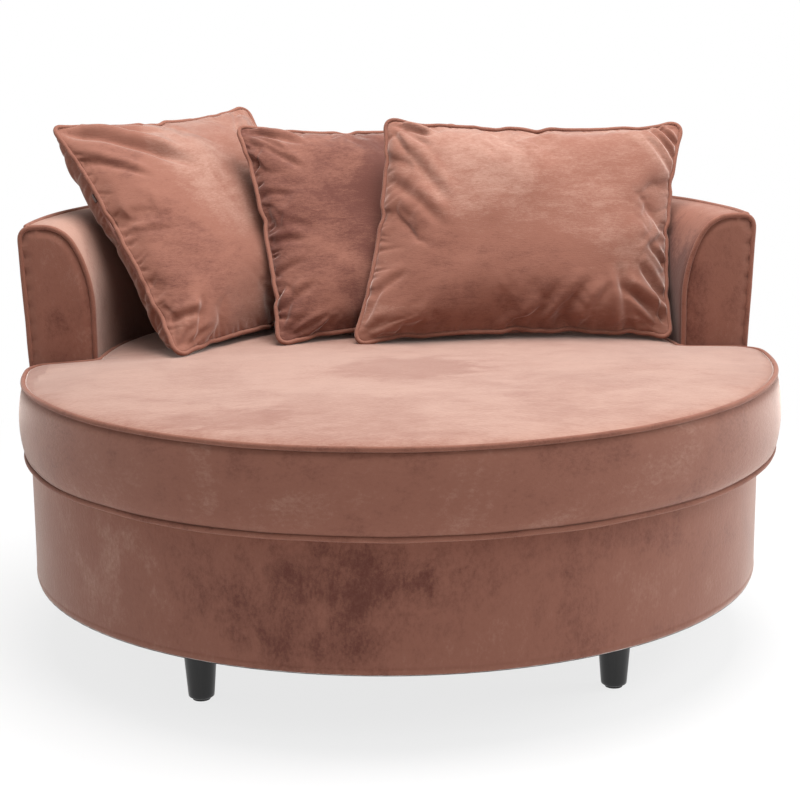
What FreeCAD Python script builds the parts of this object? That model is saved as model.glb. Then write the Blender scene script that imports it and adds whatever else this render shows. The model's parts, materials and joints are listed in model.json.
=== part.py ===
import FreeCAD, Part
import math
import os
import Sketcher

# Round armchair. Millimetres, +Z up, the sitter faces -Y.
# The origin is on the floor under the middle of the seat cushion. The base and the tub are round too,
# about an axis that lies a little further back.

doc = FreeCAD.newDocument("RoundArmchair")
sheet = doc.addObject("Spreadsheet::Sheet", "Sizes")
vector = FreeCAD.Vector

sizes = {
    # base and legs
    "base_radius": 620,
    "cushion_forward": 24,
    "leg_height": 126,
    "leg_top_radius": 30,
    "leg_foot_radius": 20.5,
    "leg_foot_edge": 2,
    "leg_inset_x": 290,
    "leg_inset_y": 268,
    "glide_height": 4,
    "glide_radius": 14,
    "bolt_radius": 4,
    "bolt_depth": 40,
    "hole_clearance": 0.2,
    "nut_radius": 14,
    "nut_height": 6,
    # wooden frame of the base
    "frame_ply": 18,
    "bottom_ring_width": 190,
    "top_ring_width": 150,
    "base_post_depth": 45,
    "base_post_width": 60,
    "base_post_count": 12,
    # upholstery layers
    "cover_thickness": 2,
    "wrap_thickness": 8,
    "board_thickness": 3,
    "dust_cover_thickness": 1,
    "felt_thickness": 8,
    "strap_thickness": 2,
    "strap_width": 60,
    "strap_pitch": 130,
    "strap_pairs": 3,
    "strap_landing": 45,
    "deck_height": 338,
    # tub
    "tub_wall": 106,
    "arm_front": 71,
    "arm_top": 706,
    "arm_corner_radius": 20,
    "shoulder_width": 82,
    "shoulder_height": 147,
    "shoulder_top_radius": 60,
    "arm_board_thickness": 18,
    "arm_board_inset": 8,
    "facing_padding": 6,
    "back_post_depth": 30,
    "back_post_width": 50,
    "back_post_count": 7,
    "back_frame_drop": 63,
    "stretch_rail_rise": 62,
    "foam_panel_count": 6,
    "piping_radius": 4,
    # seat cushion
    "rest_gap": 0.3,
    "seat_gap": 3,
    "seat_overhang": 13,
    "seat_edge_rise": 5,
    "seat_edge_inset": 12,
    "seat_side_height": 131,
    "seat_bulge": 14,
    "seat_crown": 18,
    "seat_crown_reach": 300,
    "ear_corner_radius": 26,
    "notch_radius": 9,
    "zip_tape_height": 24,
    "zip_tape_thickness": 1,
    "zip_angle": 100,
    "zip_slider_length": 16,
    "zip_slider_height": 10,
    "zip_slider_thickness": 2.5,
    # loose pillows
    "pillow_cover": 1.5,
    "pillow_seam": 6,
    "pillow_piping_radius": 3.5,
    "pillow_draw_in": 18,
    "pillow_tip": 16,
    "pillow_top_softness": 30,
    "pillow_zip_length": 200,
    "pillow_zip_width": 5,
}
for row, (alias, number) in enumerate(sizes.items(), start=1):
    sheet.set("A%d" % row, alias)
    sheet.set("B%d" % row, str(number))
    sheet.setAlias("B%d" % row, alias)
doc.recompute()

nodes = {}


def size(alias):
    return float(sheet.get(alias))


def bind(thing, **expressions):
    """Ties properties of an object to cells; a dot in a property's name is written as two underscores."""
    for name, expression in expressions.items():
        thing.setExpression(name.replace("__", "."), expression)
    return thing


def keep(label, thing):
    thing.Label = label
    nodes[label] = thing
    return thing


def feature(label, shape):
    thing = doc.addObject("Part::Feature", label)
    thing.Shape = shape
    return keep(label, thing)


# Expressions that several pieces share

axis_y = "Sizes.cushion_forward"
frame_outer = "(Sizes.base_radius - Sizes.cover_thickness - Sizes.wrap_thickness - Sizes.board_thickness)"
wrap_inner = "(Sizes.base_radius - Sizes.cover_thickness - Sizes.wrap_thickness)"
wrap_outer = "(Sizes.base_radius - Sizes.cover_thickness)"
deck_under = "(Sizes.deck_height - Sizes.cover_thickness)"
felt_under = "(Sizes.deck_height - Sizes.cover_thickness - Sizes.felt_thickness)"
cross_strap_under = "(%s - Sizes.strap_thickness)" % felt_under
top_ring_top = "(%s - Sizes.strap_thickness)" % cross_strap_under
top_ring_under = "(%s - Sizes.frame_ply)" % top_ring_top
bottom_ring_under = "(Sizes.leg_height + Sizes.dust_cover_thickness)"
bottom_ring_top = "(%s + Sizes.frame_ply)" % bottom_ring_under
bolt_hole = "(Sizes.bolt_radius + Sizes.hole_clearance)"
back_post_inner = "(%s - Sizes.back_post_depth)" % frame_outer
back_board_inner = "(%s - Sizes.board_thickness)" % back_post_inner
back_frame_top = "(Sizes.arm_top - Sizes.back_frame_drop)"
stretch_rail_under = "(Sizes.deck_height + Sizes.stretch_rail_rise)"
frame_front = "(Sizes.arm_front + Sizes.cover_thickness + Sizes.facing_padding)"
frame_behind_boards = "(%s + Sizes.arm_board_thickness)" % frame_front

# The same places as numbers, for the forms that primitives can't give

centre_y = size("cushion_forward")
cover = size("cover_thickness")
frame_outer_mm = size("base_radius") - cover - size("wrap_thickness") - size("board_thickness")
ring_top_mm = size("deck_height") - cover - size("felt_thickness") - 2 * size("strap_thickness")
ring_under_mm = ring_top_mm - size("frame_ply")
bottom_ring_top_mm = size("leg_height") + size("dust_cover_thickness") + size("frame_ply")
frame_front_mm = size("arm_front") + cover + size("facing_padding")
behind_boards_mm = frame_front_mm + size("arm_board_thickness")
back_frame_top_mm = size("arm_top") - size("back_frame_drop")
stretch_rail_mm = size("deck_height") + size("stretch_rail_rise")
back_board_inner_mm = frame_outer_mm - size("back_post_depth") - size("board_thickness")
tub_inner_mm = size("base_radius") - size("tub_wall")
low_seam_mm = size("deck_height") + size("rest_gap") + size("seat_edge_rise")
top_seam_mm = low_seam_mm + size("seat_side_height")
seat_rear_mm = tub_inner_mm - size("seat_gap") - size("piping_radius")


# Primitives tied to the sheet

def cylinder(name, radius, low, high, x="0", y=axis_y):
    thing = doc.addObject("Part::Cylinder", name)
    return bind(thing, Radius=radius, Height="%s - %s" % (high, low),
                Placement__Base__x=x, Placement__Base__y=y, Placement__Base__z=low)


def cut(name, base, tool):
    thing = doc.addObject("Part::Cut", name)
    thing.Base = base
    thing.Tool = tool
    return thing


def ring(name, outer, inner, low, high):
    return cut(name, cylinder(name + "_outer", outer, low, high), cylinder(name + "_inner", inner, low, high))


def behind(name, base, front, low, high):
    """Keeps the part of a ring that lies behind a plane across the chair."""
    block = doc.addObject("Part::Box", name + "_block")
    bind(block, Length="2 * Sizes.base_radius", Width="Sizes.base_radius + %s" % axis_y,
         Height="%s - %s" % (high, low), Placement__Base__x="-Sizes.base_radius",
         Placement__Base__y=front, Placement__Base__z=low)
    thing = doc.addObject("Part::Common", name)
    thing.Base = base
    thing.Tool = block
    return thing


def half_ring(name, outer, inner, low, high):
    return behind(name, ring(name + "_ring", outer, inner, low, high), frame_behind_boards, low, high)


def group(label, things):
    thing = doc.addObject("Part::Compound", label)
    thing.Links = things
    return keep(label, thing)


leg_places = {
    "front_left": (-1, -1),
    "front_right": (1, -1),
    "rear_left": (-1, 1),
    "rear_right": (1, 1),
}


def leg_place(side, end):
    return ("%d * (Sizes.base_radius - Sizes.leg_inset_x)" % side,
            "%s + %d * (Sizes.base_radius - Sizes.leg_inset_y)" % (axis_y, end))


# Legs: turned tapered wood with a bore for the hanger bolt

def origin_plane(body, role):
    return next(plane for plane in body.Origin.OriginFeatures if plane.Role == role)


def pinned_outline(sketch, corners):
    """A closed outline of straight lines whose corners are pinned to the sheet."""
    count = len(corners)
    for number in range(count):
        start = vector(10 * number, number * number, 0)
        end = vector(10 * (number + 1) % (10 * count), ((number + 1) % count) ** 2, 0)
        sketch.addGeometry(Part.LineSegment(start, end), False)
    for number, (across, up) in enumerate(corners):
        sketch.addConstraint(Sketcher.Constraint("Coincident", number - 1 if number else count - 1, 2, number, 1))
        for kind, expression in (("DistanceX", across), ("DistanceY", up)):
            place = sketch.addConstraint(Sketcher.Constraint(kind, -1, 1, number, 1, 1.0))
            sketch.setExpression("Constraints[%d]" % place, expression)


def leg(label, side, end):
    body = doc.addObject("PartDesign::Body", label)
    sketch = body.newObject("Sketcher::SketchObject", label + "_profile")
    sketch.AttachmentSupport = (origin_plane(body, "XZ_Plane"), [""])
    sketch.MapMode = "FlatFace"
    bore_end = "Sizes.leg_height - Sizes.bolt_depth"
    pinned_outline(sketch, [
        ("0", "Sizes.glide_height"),
        ("Sizes.leg_foot_radius - Sizes.leg_foot_edge", "Sizes.glide_height"),
        ("Sizes.leg_foot_radius", "Sizes.glide_height + Sizes.leg_foot_edge"),
        ("Sizes.leg_top_radius", "Sizes.leg_height"),
        (bolt_hole, "Sizes.leg_height"),
        (bolt_hole, bore_end),
        ("0", bore_end),
    ])
    turned = body.newObject("PartDesign::Revolution", label + "_turned")
    turned.Profile = sketch
    turned.ReferenceAxis = (sketch, ["V_Axis"])
    turned.Angle = 360
    x, y = leg_place(side, end)
    bind(body, Placement__Base__x=x, Placement__Base__y=y)
    return keep(label, body)


def legs():
    glides, fasteners = [], []
    for place, (side, end) in leg_places.items():
        leg("leg_" + place, side, end)
        x, y = leg_place(side, end)
        glides.append(cylinder("glide_" + place, "Sizes.glide_radius", "0", "Sizes.glide_height", x, y))
        nut_top = "(%s + Sizes.nut_height)" % bottom_ring_top
        fasteners.append(cylinder("bolt_" + place, "Sizes.bolt_radius",
                                  "(Sizes.leg_height - Sizes.bolt_depth)", nut_top, x, y))
        nut = cylinder("nut_blank_" + place, "Sizes.nut_radius", bottom_ring_top, nut_top, x, y)
        fasteners.append(cut("nut_" + place, nut,
                             cylinder("nut_hole_" + place, bolt_hole, bottom_ring_top, nut_top, x, y)))
    group("leg_glides", glides)
    group("leg_fasteners", fasteners)


# Base: two plywood rings held apart by posts, webbing, deck, wrapping and covers

def bored_for_legs(name, base, low, high):
    for place, (side, end) in leg_places.items():
        x, y = leg_place(side, end)
        base = cut("%s_bored_%s" % (name, place), base,
                   cylinder("%s_hole_%s" % (name, place), bolt_hole, low, high, x, y))
    return base


def base_frame():
    ring_inner = "(%s - Sizes.bottom_ring_width)" % frame_outer
    bottom = ring("bottom_ring_blank", frame_outer, ring_inner, bottom_ring_under, bottom_ring_top)
    keep("base_bottom_ring", bored_for_legs("bottom_ring", bottom, bottom_ring_under, bottom_ring_top))
    keep("base_top_ring", ring("base_top_ring", frame_outer, "(%s - Sizes.top_ring_width)" % frame_outer,
                               top_ring_under, top_ring_top))
    posts = []
    count = int(size("base_post_count"))
    for number in range(count):
        post = doc.addObject("Part::Box", "base_post_%02d" % number)
        bind(post, Length="Sizes.base_post_depth", Width="Sizes.base_post_width",
             Height="%s - %s" % (top_ring_under, bottom_ring_top))
        # the outer corners of a post stay inside the tackboard
        reach = math.sqrt(frame_outer_mm ** 2 - (size("base_post_width") / 2) ** 2) - size("base_post_depth")
        turn = FreeCAD.Rotation(vector(0, 0, 1), 360.0 * (number + 0.5) / count)
        corner = turn.multVec(vector(reach, -size("base_post_width") / 2, 0))
        post.Placement = FreeCAD.Placement(corner + vector(0, centre_y, bottom_ring_top_mm), turn)
        posts.append(post)
    group("base_posts", posts)


def webbing():
    reach = "(%s - Sizes.top_ring_width + Sizes.strap_landing)" % frame_outer
    pairs = int(size("strap_pairs"))
    # a strap lies only where both its ends land on the ring
    furthest = frame_outer_mm - size("top_ring_width") - size("strap_width") / 2
    numbers = [number for number in range(-pairs, pairs + 1) if abs(number) * size("strap_pitch") <= furthest]
    straps = []
    for layer, lengthwise, under in (("lengthwise", True, top_ring_top), ("crosswise", False, cross_strap_under)):
        for number in numbers:
            strap = doc.addObject("Part::Box", "strap_%s_%d" % (layer, number + pairs))
            offset = "(%d * Sizes.strap_pitch)" % number
            outer_edge = "(abs(%s) + Sizes.strap_width / 2)" % offset
            half_length = "sqrt(%s * %s - %s * %s)" % (reach, reach, outer_edge, outer_edge)
            near_side = "%s - Sizes.strap_width / 2" % offset
            bind(strap, Height="Sizes.strap_thickness", Placement__Base__z=under)
            if lengthwise:
                bind(strap, Length="Sizes.strap_width", Width="2 * " + half_length,
                     Placement__Base__x=near_side, Placement__Base__y="%s - %s" % (axis_y, half_length))
            else:
                bind(strap, Length="2 * " + half_length, Width="Sizes.strap_width",
                     Placement__Base__x="-" + half_length, Placement__Base__y="%s + %s" % (axis_y, near_side))
            straps.append(strap)
    group("webbing", straps)


def deck_layer(label, radius, low, high):
    """A round layer of the deck, cut away where the frame of the tub stands."""
    wood = behind(label + "_tub", ring(label + "_tub_ring", "Sizes.base_radius", back_board_inner, low, high),
                  frame_front, low, high)
    keep(label, cut(label, cylinder(label + "_disc", radius, low, high), wood))


def base_upholstery():
    keep("base_tackboard", ring("base_tackboard", wrap_inner, frame_outer, bottom_ring_under, top_ring_top))
    keep("base_wrap", ring("base_wrap", wrap_outer, wrap_inner, bottom_ring_under, deck_under))
    keep("base_cover", ring("base_cover", "Sizes.base_radius", wrap_outer, "Sizes.leg_height",
                            "Sizes.deck_height"))
    dust = cylinder("dust_cover_blank", wrap_outer, "Sizes.leg_height", bottom_ring_under)
    keep("dust_cover", bored_for_legs("dust_cover", dust, "Sizes.leg_height", bottom_ring_under))
    deck_layer("deck_felt", frame_outer, felt_under, deck_under)
    deck_layer("deck_cover", wrap_outer, deck_under, "Sizes.deck_height")


# Tub: the section of the arm and back, with its rounded shoulder towards the sitter

def arm_section(inset, low, shift=0.0):
    """The section's edge as lines and arcs, offset inwards: radius from the tub's axis as x, height as z."""
    outer = size("base_radius") - shift
    inner = tub_inner_mm - shift
    top = size("arm_top")
    corner = size("arm_corner_radius")
    across = size("shoulder_width")
    down = size("shoulder_height")
    small = size("shoulder_top_radius")
    # the shoulder is two arcs that meet in a tangent: a large one up from the wall, a small one on to the top
    large = (across ** 2 + down ** 2 - 2 * down * small) / (2 * (across - small))
    large_centre = vector(inner + large, 0, top - down)
    small_centre = vector(inner + across, 0, top - small)
    corner_centre = vector(outer - corner, 0, top - corner)
    towards_join = (small_centre - large_centre).normalize()
    join_turn = math.atan2(towards_join.z, -towards_join.x)

    def on_arc(centre, radius, turn):
        """A point of an arc, turned up from the side that faces the sitter."""
        return centre + vector(-math.cos(turn), 0, math.sin(turn)) * (radius - inset)

    foot_out = vector(outer - inset, 0, low)
    corner_low = on_arc(corner_centre, corner, math.pi)
    corner_high = on_arc(corner_centre, corner, math.pi / 2)
    shoulder_high = on_arc(small_centre, small, math.pi / 2)
    join = on_arc(small_centre, small, join_turn)
    wall_top = on_arc(large_centre, large, 0)
    foot_in = vector(inner + inset, 0, low)
    path = [
        Part.LineSegment(foot_out, corner_low),
        Part.Arc(corner_low, on_arc(corner_centre, corner, 0.75 * math.pi), corner_high),
        Part.LineSegment(corner_high, shoulder_high),
        Part.Arc(shoulder_high, on_arc(small_centre, small, (join_turn + math.pi / 2) / 2), join),
        Part.Arc(join, on_arc(large_centre, large, join_turn / 2), wall_top),
        Part.LineSegment(wall_top, foot_in),
    ]
    floor = Part.LineSegment(foot_in, foot_out)
    return path, floor


def tub_solid(inset, low):
    """The tub shrunk by inset on every face, cut off square at the arm fronts."""
    path, floor = arm_section(inset, low)
    face = Part.Face(Part.Wire([piece.toShape() for piece in path + [floor]]))
    turned = face.revolve(vector(0, 0, 0), vector(0, 0, 1), 180)
    turned.translate(vector(0, centre_y, 0))
    front = size("arm_front") + inset
    reach = 2 * size("base_radius")
    block = Part.makeBox(2 * reach, reach, reach, vector(-reach, front, 0))
    return turned.common(block)


def swept(path_shapes, radius, at, along):
    """A round cord of fabric along a path."""
    ring_edge = Part.Circle(at, along, radius).toShape()
    return Part.Wire(path_shapes).makePipeShell([Part.Wire([ring_edge])], True, False)


def arm_piping(side):
    """The cord round the edge of one arm facing."""
    front = size("arm_front")
    middle = (size("base_radius") + tub_inner_mm) / 2
    back = front - centre_y
    shift = middle - math.sqrt(middle ** 2 - back ** 2)
    # the cord's middle runs a little inside the edge, on the plane of the facing
    path, floor = arm_section(size("cover_thickness"), size("deck_height"), shift)
    edges = [piece.toShape() for piece in path]
    cord = swept(edges, size("piping_radius"), path[0].StartPoint, vector(0, 0, 1))
    if side < 0:
        cord = cord.mirror(vector(0, 0, 0), vector(1, 0, 0))
    cord.translate(vector(0, front, 0))
    return cord


def tub_frame():
    half_ring_parts = {
        "back_bottom_rail": (top_ring_top, "(%s + Sizes.frame_ply)" % top_ring_top),
        "back_stretch_rail": (stretch_rail_under, "(%s + Sizes.frame_ply)" % stretch_rail_under),
        "back_top_rail": ("(%s - Sizes.frame_ply)" % back_frame_top, back_frame_top),
    }
    for label, (low, high) in half_ring_parts.items():
        keep(label, half_ring(label, frame_outer, back_post_inner, low, high))
    keep("back_inner_board", half_ring("back_inner_board", back_post_inner, back_board_inner,
                                       stretch_rail_under, back_frame_top))
    keep("back_outer_board", half_ring("back_outer_board", wrap_inner, frame_outer, top_ring_top,
                                       back_frame_top))
    back_posts()
    for label, side in (("arm_board_left", -1), ("arm_board_right", 1)):
        feature(label, arm_board(side))


def back_posts():
    """Upright posts between the rails, in two lengths, one above the other."""
    depth = size("back_post_depth")
    width = size("back_post_width")
    outer = math.sqrt(frame_outer_mm ** 2 - (width / 2) ** 2)
    inner = frame_outer_mm - depth
    ply = size("frame_ply")
    spans = ((ring_top_mm + ply, stretch_rail_mm), (stretch_rail_mm + ply, back_frame_top_mm - ply))
    count = int(size("back_post_count"))
    posts = []
    for number in range(count):
        turn = FreeCAD.Rotation(vector(0, 0, 1), 180.0 * (number + 1) / (count + 1))
        for low, high in spans:
            post = Part.makeBox(outer - inner, width, high - low)
            corner = turn.multVec(vector(inner, -width / 2, 0)) + vector(0, centre_y, low)
            post.Placement = FreeCAD.Placement(corner, turn)
            posts.append(post)
    feature("back_posts", Part.makeCompound(posts))


def arm_board(side):
    """Plywood cut to the arm's section, standing on the top ring behind the facing."""
    inset = size("arm_board_inset")
    back = behind_boards_mm - centre_y
    shift = tub_inner_mm - math.sqrt(tub_inner_mm ** 2 - back ** 2)
    outer_shift = frame_outer_mm - math.sqrt(frame_outer_mm ** 2 - back ** 2)
    path, floor = arm_section(inset, size("deck_height"), shift)
    face = Part.Face(Part.Wire([piece.toShape() for piece in path + [floor]]))
    board = face.extrude(vector(0, size("arm_board_thickness"), 0))
    # the outer edge stays inside the tackboard and its wrapping
    edge = frame_outer_mm - outer_shift
    block = Part.makeBox(edge, size("arm_board_thickness"), size("arm_top"))
    foot_width = size("back_post_depth")
    foot = Part.makeBox(foot_width, size("arm_board_thickness"), size("deck_height") - ring_top_mm,
                        vector(edge - foot_width, 0, ring_top_mm))
    board = board.common(block).fuse(foot).removeSplitter()
    if side < 0:
        board = board.mirror(vector(0, 0, 0), vector(1, 0, 0))
    board.translate(vector(0, frame_front_mm, 0))
    return board


def tub_upholstery():
    low = size("deck_height")
    whole = tub_solid(0, low)
    foam_blank = tub_solid(cover, low)
    radius = size("base_radius")
    piping = size("piping_radius")
    # the wood takes its room out of the foam
    wood = Part.makeCylinder(radius - cover - size("wrap_thickness"), back_frame_top_mm - ring_top_mm,
                             vector(0, centre_y, ring_top_mm))
    inside_boards = Part.makeCylinder(back_board_inner_mm, size("arm_top"), vector(0, centre_y, 0))
    wood = wood.cut(inside_boards)
    wood = wood.common(Part.makeBox(2 * radius, radius * 2, radius * 2, vector(-radius, frame_front_mm, 0)))
    foam = foam_blank.cut(wood)
    for side in (-1, 1):
        foam = foam.cut(arm_board(side))

    skin = whole.cut(tub_solid(cover, low - radius))
    cords = {side: arm_piping(side) for side in (-1, 1)}
    # the back's own cord runs round the outer top edge, half sunk into the covers
    corner = size("arm_corner_radius")
    cord_radius = radius - corner + (corner - cover / 2) * math.sqrt(0.5)
    cord_height = size("arm_top") - corner + (corner - cover / 2) * math.sqrt(0.5)
    top_cord = Part.makeTorus(cord_radius, piping, vector(0, centre_y, cord_height))
    top_cord = top_cord.common(Part.makeBox(2 * radius, radius, radius * 2,
                                            vector(-radius, size("arm_front") + cover, 0)))
    for side in (-1, 1):
        top_cord = top_cord.cut(cords[side])
    feature("back_top_piping", top_cord)
    # the foam comes as a thick sheet inside the frame, a roll over its top and thin wadding outside
    foam = foam.cut([top_cord, cords[-1], cords[1]])
    above = Part.makeBox(2 * radius, 2 * radius, radius, vector(-radius, 0, back_frame_top_mm))
    sheets = foam.cut(above)
    feature("back_foam", foam_panels(largest(sheets.common(inside_boards))))
    feature("back_top_foam", largest(foam.common(above)))
    feature("back_outer_wadding", largest(sheets.cut(inside_boards)))
    for side in (-1, 1):
        skin = skin.cut(cords[side])
        feature("arm_piping_left" if side < 0 else "arm_piping_right", cords[side])
    skin = skin.cut(top_cord)
    front_block = Part.makeBox(2 * radius, cover, radius * 2, vector(-radius, size("arm_front"), 0))
    facings = skin.common(front_block)
    skin = skin.cut(front_block)
    for side in (-1, 1):
        half = Part.makeBox(radius, radius, 2 * radius, vector(-radius if side < 0 else 0, 0, 0))
        feature("arm_facing_left" if side < 0 else "arm_facing_right", largest(facings.common(half)))
    outside = Part.makeCylinder(2 * radius, cord_height, vector(0, centre_y, 0))
    outside = outside.cut(Part.makeCylinder(cord_radius, 2 * radius, vector(0, centre_y, 0)))
    feature("outside_back_cover", largest(skin.common(outside)))
    feature("inside_back_cover", largest(skin.cut(outside)))


def foam_panels(sheet):
    """The thick sheet cut upright into panels, which are glued edge to edge round the tub."""
    count = int(size("foam_panel_count"))
    foot = vector(0, centre_y, 0)
    panels = []
    for number in range(count):
        wedge = Part.makeCylinder(size("base_radius"), size("arm_top"), foot, vector(0, 0, 1), 180.0 / count)
        wedge.rotate(foot, vector(0, 0, 1), 180.0 * number / count)
        panels.append(largest(sheet.common(wedge)))
    return Part.makeCompound(panels)


def largest(shape):
    """The largest solid of a shape, so that no sliver beside a cord stays in a cover."""
    return max(shape.Solids, key=lambda solid: solid.Volume)


# Seat cushion: round in front, with an ear in front of each arm and a round rear inside the tub

def seat_outline(inset, height, bulge=0.0, ear_share=1.0):
    """Closed wire at one height. The front swells by bulge, and every edge draws in by inset."""
    front_radius = size("base_radius") + size("seat_overhang") + bulge - inset
    rear_radius = seat_rear_mm - inset
    ear_back = size("arm_front") - 2 * size("piping_radius") - size("seat_gap") - inset * ear_share
    ear = size("ear_corner_radius")
    notch = size("notch_radius")
    ear_y = ear_back - ear
    ear_x = math.sqrt((front_radius - ear) ** 2 - ear_y ** 2)
    notch_y = ear_back + notch - centre_y
    notch_x = math.sqrt((rear_radius + notch) ** 2 - notch_y ** 2)
    on_front = vector(ear_x, ear_y, 0) * (front_radius / (front_radius - ear))
    on_rear = vector(notch_x, notch_y, 0) * (rear_radius / (rear_radius + notch)) + vector(0, centre_y, 0)
    ear_turn = (math.atan2(on_front.y - ear_y, on_front.x - ear_x) + math.pi / 2) / 2
    ear_middle = vector(ear_x + ear * math.cos(ear_turn), ear_y + ear * math.sin(ear_turn), 0)
    notch_centre = vector(notch_x, ear_back + notch, 0)
    inner_turn = (math.atan2(on_rear.y - notch_centre.y, on_rear.x - notch_centre.x) - math.pi / 2) / 2
    notch_middle = notch_centre + vector(math.cos(inner_turn), math.sin(inner_turn), 0) * notch

    def mirrored(point):
        return vector(-point.x, point.y, 0)

    def arc(start, middle, end):
        return Part.Arc(start, middle, end)

    ear_end = vector(ear_x, ear_back, 0)
    notch_end = vector(notch_x, ear_back, 0)
    front_low = vector(0, -front_radius, 0)
    side_turn = math.atan2(on_front.y, on_front.x)
    half_turn = (side_turn - math.pi / 2) / 2
    front_right = vector(math.cos(half_turn), math.sin(half_turn), 0) * front_radius
    rear_top = vector(0, centre_y + rear_radius, 0)
    rear_turn = (math.atan2(on_rear.y - centre_y, on_rear.x) + math.pi / 2) / 2
    rear_right = vector(rear_radius * math.cos(rear_turn), centre_y + rear_radius * math.sin(rear_turn), 0)
    right = [
        arc(front_low, front_right, on_front),
        arc(on_front, ear_middle, ear_end),
        Part.LineSegment(ear_end, notch_end),
        arc(notch_end, notch_middle, on_rear),
        arc(on_rear, rear_right, rear_top),
    ]
    left = [
        arc(rear_top, mirrored(rear_right), mirrored(on_rear)),
        arc(mirrored(on_rear), mirrored(notch_middle), mirrored(notch_end)),
        Part.LineSegment(mirrored(notch_end), mirrored(ear_end)),
        arc(mirrored(ear_end), mirrored(ear_middle), mirrored(on_front)),
        arc(mirrored(on_front), mirrored(front_right), front_low),
    ]
    wire = Part.Wire([piece.toShape() for piece in right + left])
    wire.translate(vector(0, 0, height))
    return wire


side_levels = (0.0, 0.2, 0.5, 0.8, 1.0)
side_fullness = 0.8

# The crown rises fast at the seam and levels out towards the middle: share of its reach, share of its rise,
# and how much of the drawing in the straight backs of the ears take part in
crown_levels = ((0.0, 0.0, 1.0), (0.2, 0.5, 0.5), (0.53, 0.83, 0.5), (1.0, 1.0, 0.5))


def seat_solid(inset):
    """The cushion's form, shrunk by inset: a flat underside, swelling sides and a crowned top."""
    low = size("deck_height") + size("rest_gap") + inset
    bulge = size("seat_bulge")
    under = Part.makeLoft([
        seat_outline(inset + size("seat_edge_inset"), low),
        seat_outline(inset, low_seam_mm + inset),
    ], True, True)
    span = size("seat_side_height") - 2 * inset
    sides = Part.makeLoft([
        seat_outline(inset, low_seam_mm + inset + span * share, bulge * math.sin(math.pi * share) ** side_fullness)
        for share in side_levels
    ], True, False)
    reach = size("seat_crown_reach")
    top = Part.makeLoft([
        seat_outline(inset + reach * draw, top_seam_mm - inset + size("seat_crown") * rise, 0.0, share_of_ear)
        for draw, rise, share_of_ear in crown_levels
    ], True, False)
    return under.fuse([sides, top]).removeSplitter()


def seat_cord(height):
    wire = seat_outline(0.0, height)
    start = wire.Edges[0].Vertexes[0].Point
    return swept(wire.Edges, size("piping_radius"), start, vector(1, 0, 0))


def seat_cushion():
    cords = {
        "seat_piping_bottom": seat_cord(low_seam_mm),
        "seat_piping_top": seat_cord(top_seam_mm),
    }
    foam = seat_solid(cover)
    skin = seat_solid(0.0).cut(foam)
    for label, cord in cords.items():
        skin = skin.cut(cord)
        foam = foam.cut(cord)
        feature(label, cord)
    # the cords part the cover into its three panels
    panels = sorted(skin.Solids, key=lambda solid: solid.Volume)[-3:]
    panels.sort(key=lambda solid: solid.CenterOfMass.z)
    for label, panel in zip(("seat_under_panel", "seat_boxing", "seat_top_panel"), panels):
        feature(label, panel)
    feature("seat_foam", largest(foam))
    seat_zip((low_seam_mm + top_seam_mm) / 2)


def seat_zip(middle):
    """A zip round the rear of the cushion, with its slider at the right-hand end."""
    tape = size("zip_tape_thickness")
    height = size("zip_tape_height")
    span = size("zip_angle")
    start = 90 - span / 2

    def band(inner, thick, tall, first, sweep):
        axis = vector(0, centre_y, middle - tall / 2)
        outer = Part.makeCylinder(inner + thick, tall, axis, vector(0, 0, 1), sweep)
        shape = outer.cut(Part.makeCylinder(inner, tall, axis))
        shape.rotate(vector(0, centre_y, 0), vector(0, 0, 1), first)
        return shape

    feature("seat_zip_tape", band(seat_rear_mm, tape, height, start, span))
    slider_sweep = math.degrees(size("zip_slider_length") / seat_rear_mm)
    feature("seat_zip_slider", band(seat_rear_mm + tape + size("rest_gap"), size("zip_slider_thickness"),
                                    size("zip_slider_height"), start, slider_sweep))


# Loose pillows: each lies in its own leaning plane, x along its width, y up its height, z out of its face.
# The last number of a foot is its height above the top of the seat.

pillows = {
    "pillow_left": {
        "foot": (-370.6, -17.2, 3.9), "yaw": 47.8, "lean": 41.4,
        "tips": ((6, 0), (500, 6), (530, 488), (37, 483)),
        "front": 60, "back": 76, "zip_side": 3,
    },
    "pillow_middle": {
        "foot": (-199.6, 61.8, 3.1), "yaw": 22.1, "lean": 38,
        "tips": ((5, 2), (455, 2), (485, 425), (45, 445)),
        "front": 54, "back": 64, "zip_side": 0,
    },
    "pillow_right": {
        "foot": (-60.5, 65.1, 4.1), "yaw": 2.1, "lean": 29.1,
        "tips": ((-2, 0), (550, -3), (610, 398), (76, 415)),
        "front": 64, "back": 54, "zip_side": 0,
    },
}


# The levels of a pillow's crown: share of the outline, share of the crown's rise
pillow_levels = ((1.0, 0.0), (0.94, 0.36), (0.82, 0.66), (0.64, 0.87), (0.42, 0.97), (0.25, 1.0))


def side_draw(share):
    """How far a side is drawn in: most at the seam, and swelling a little towards the top of the crown."""
    swell_start = 0.55
    return size("pillow_draw_in") * share * 2 * (share - swell_start)


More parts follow.
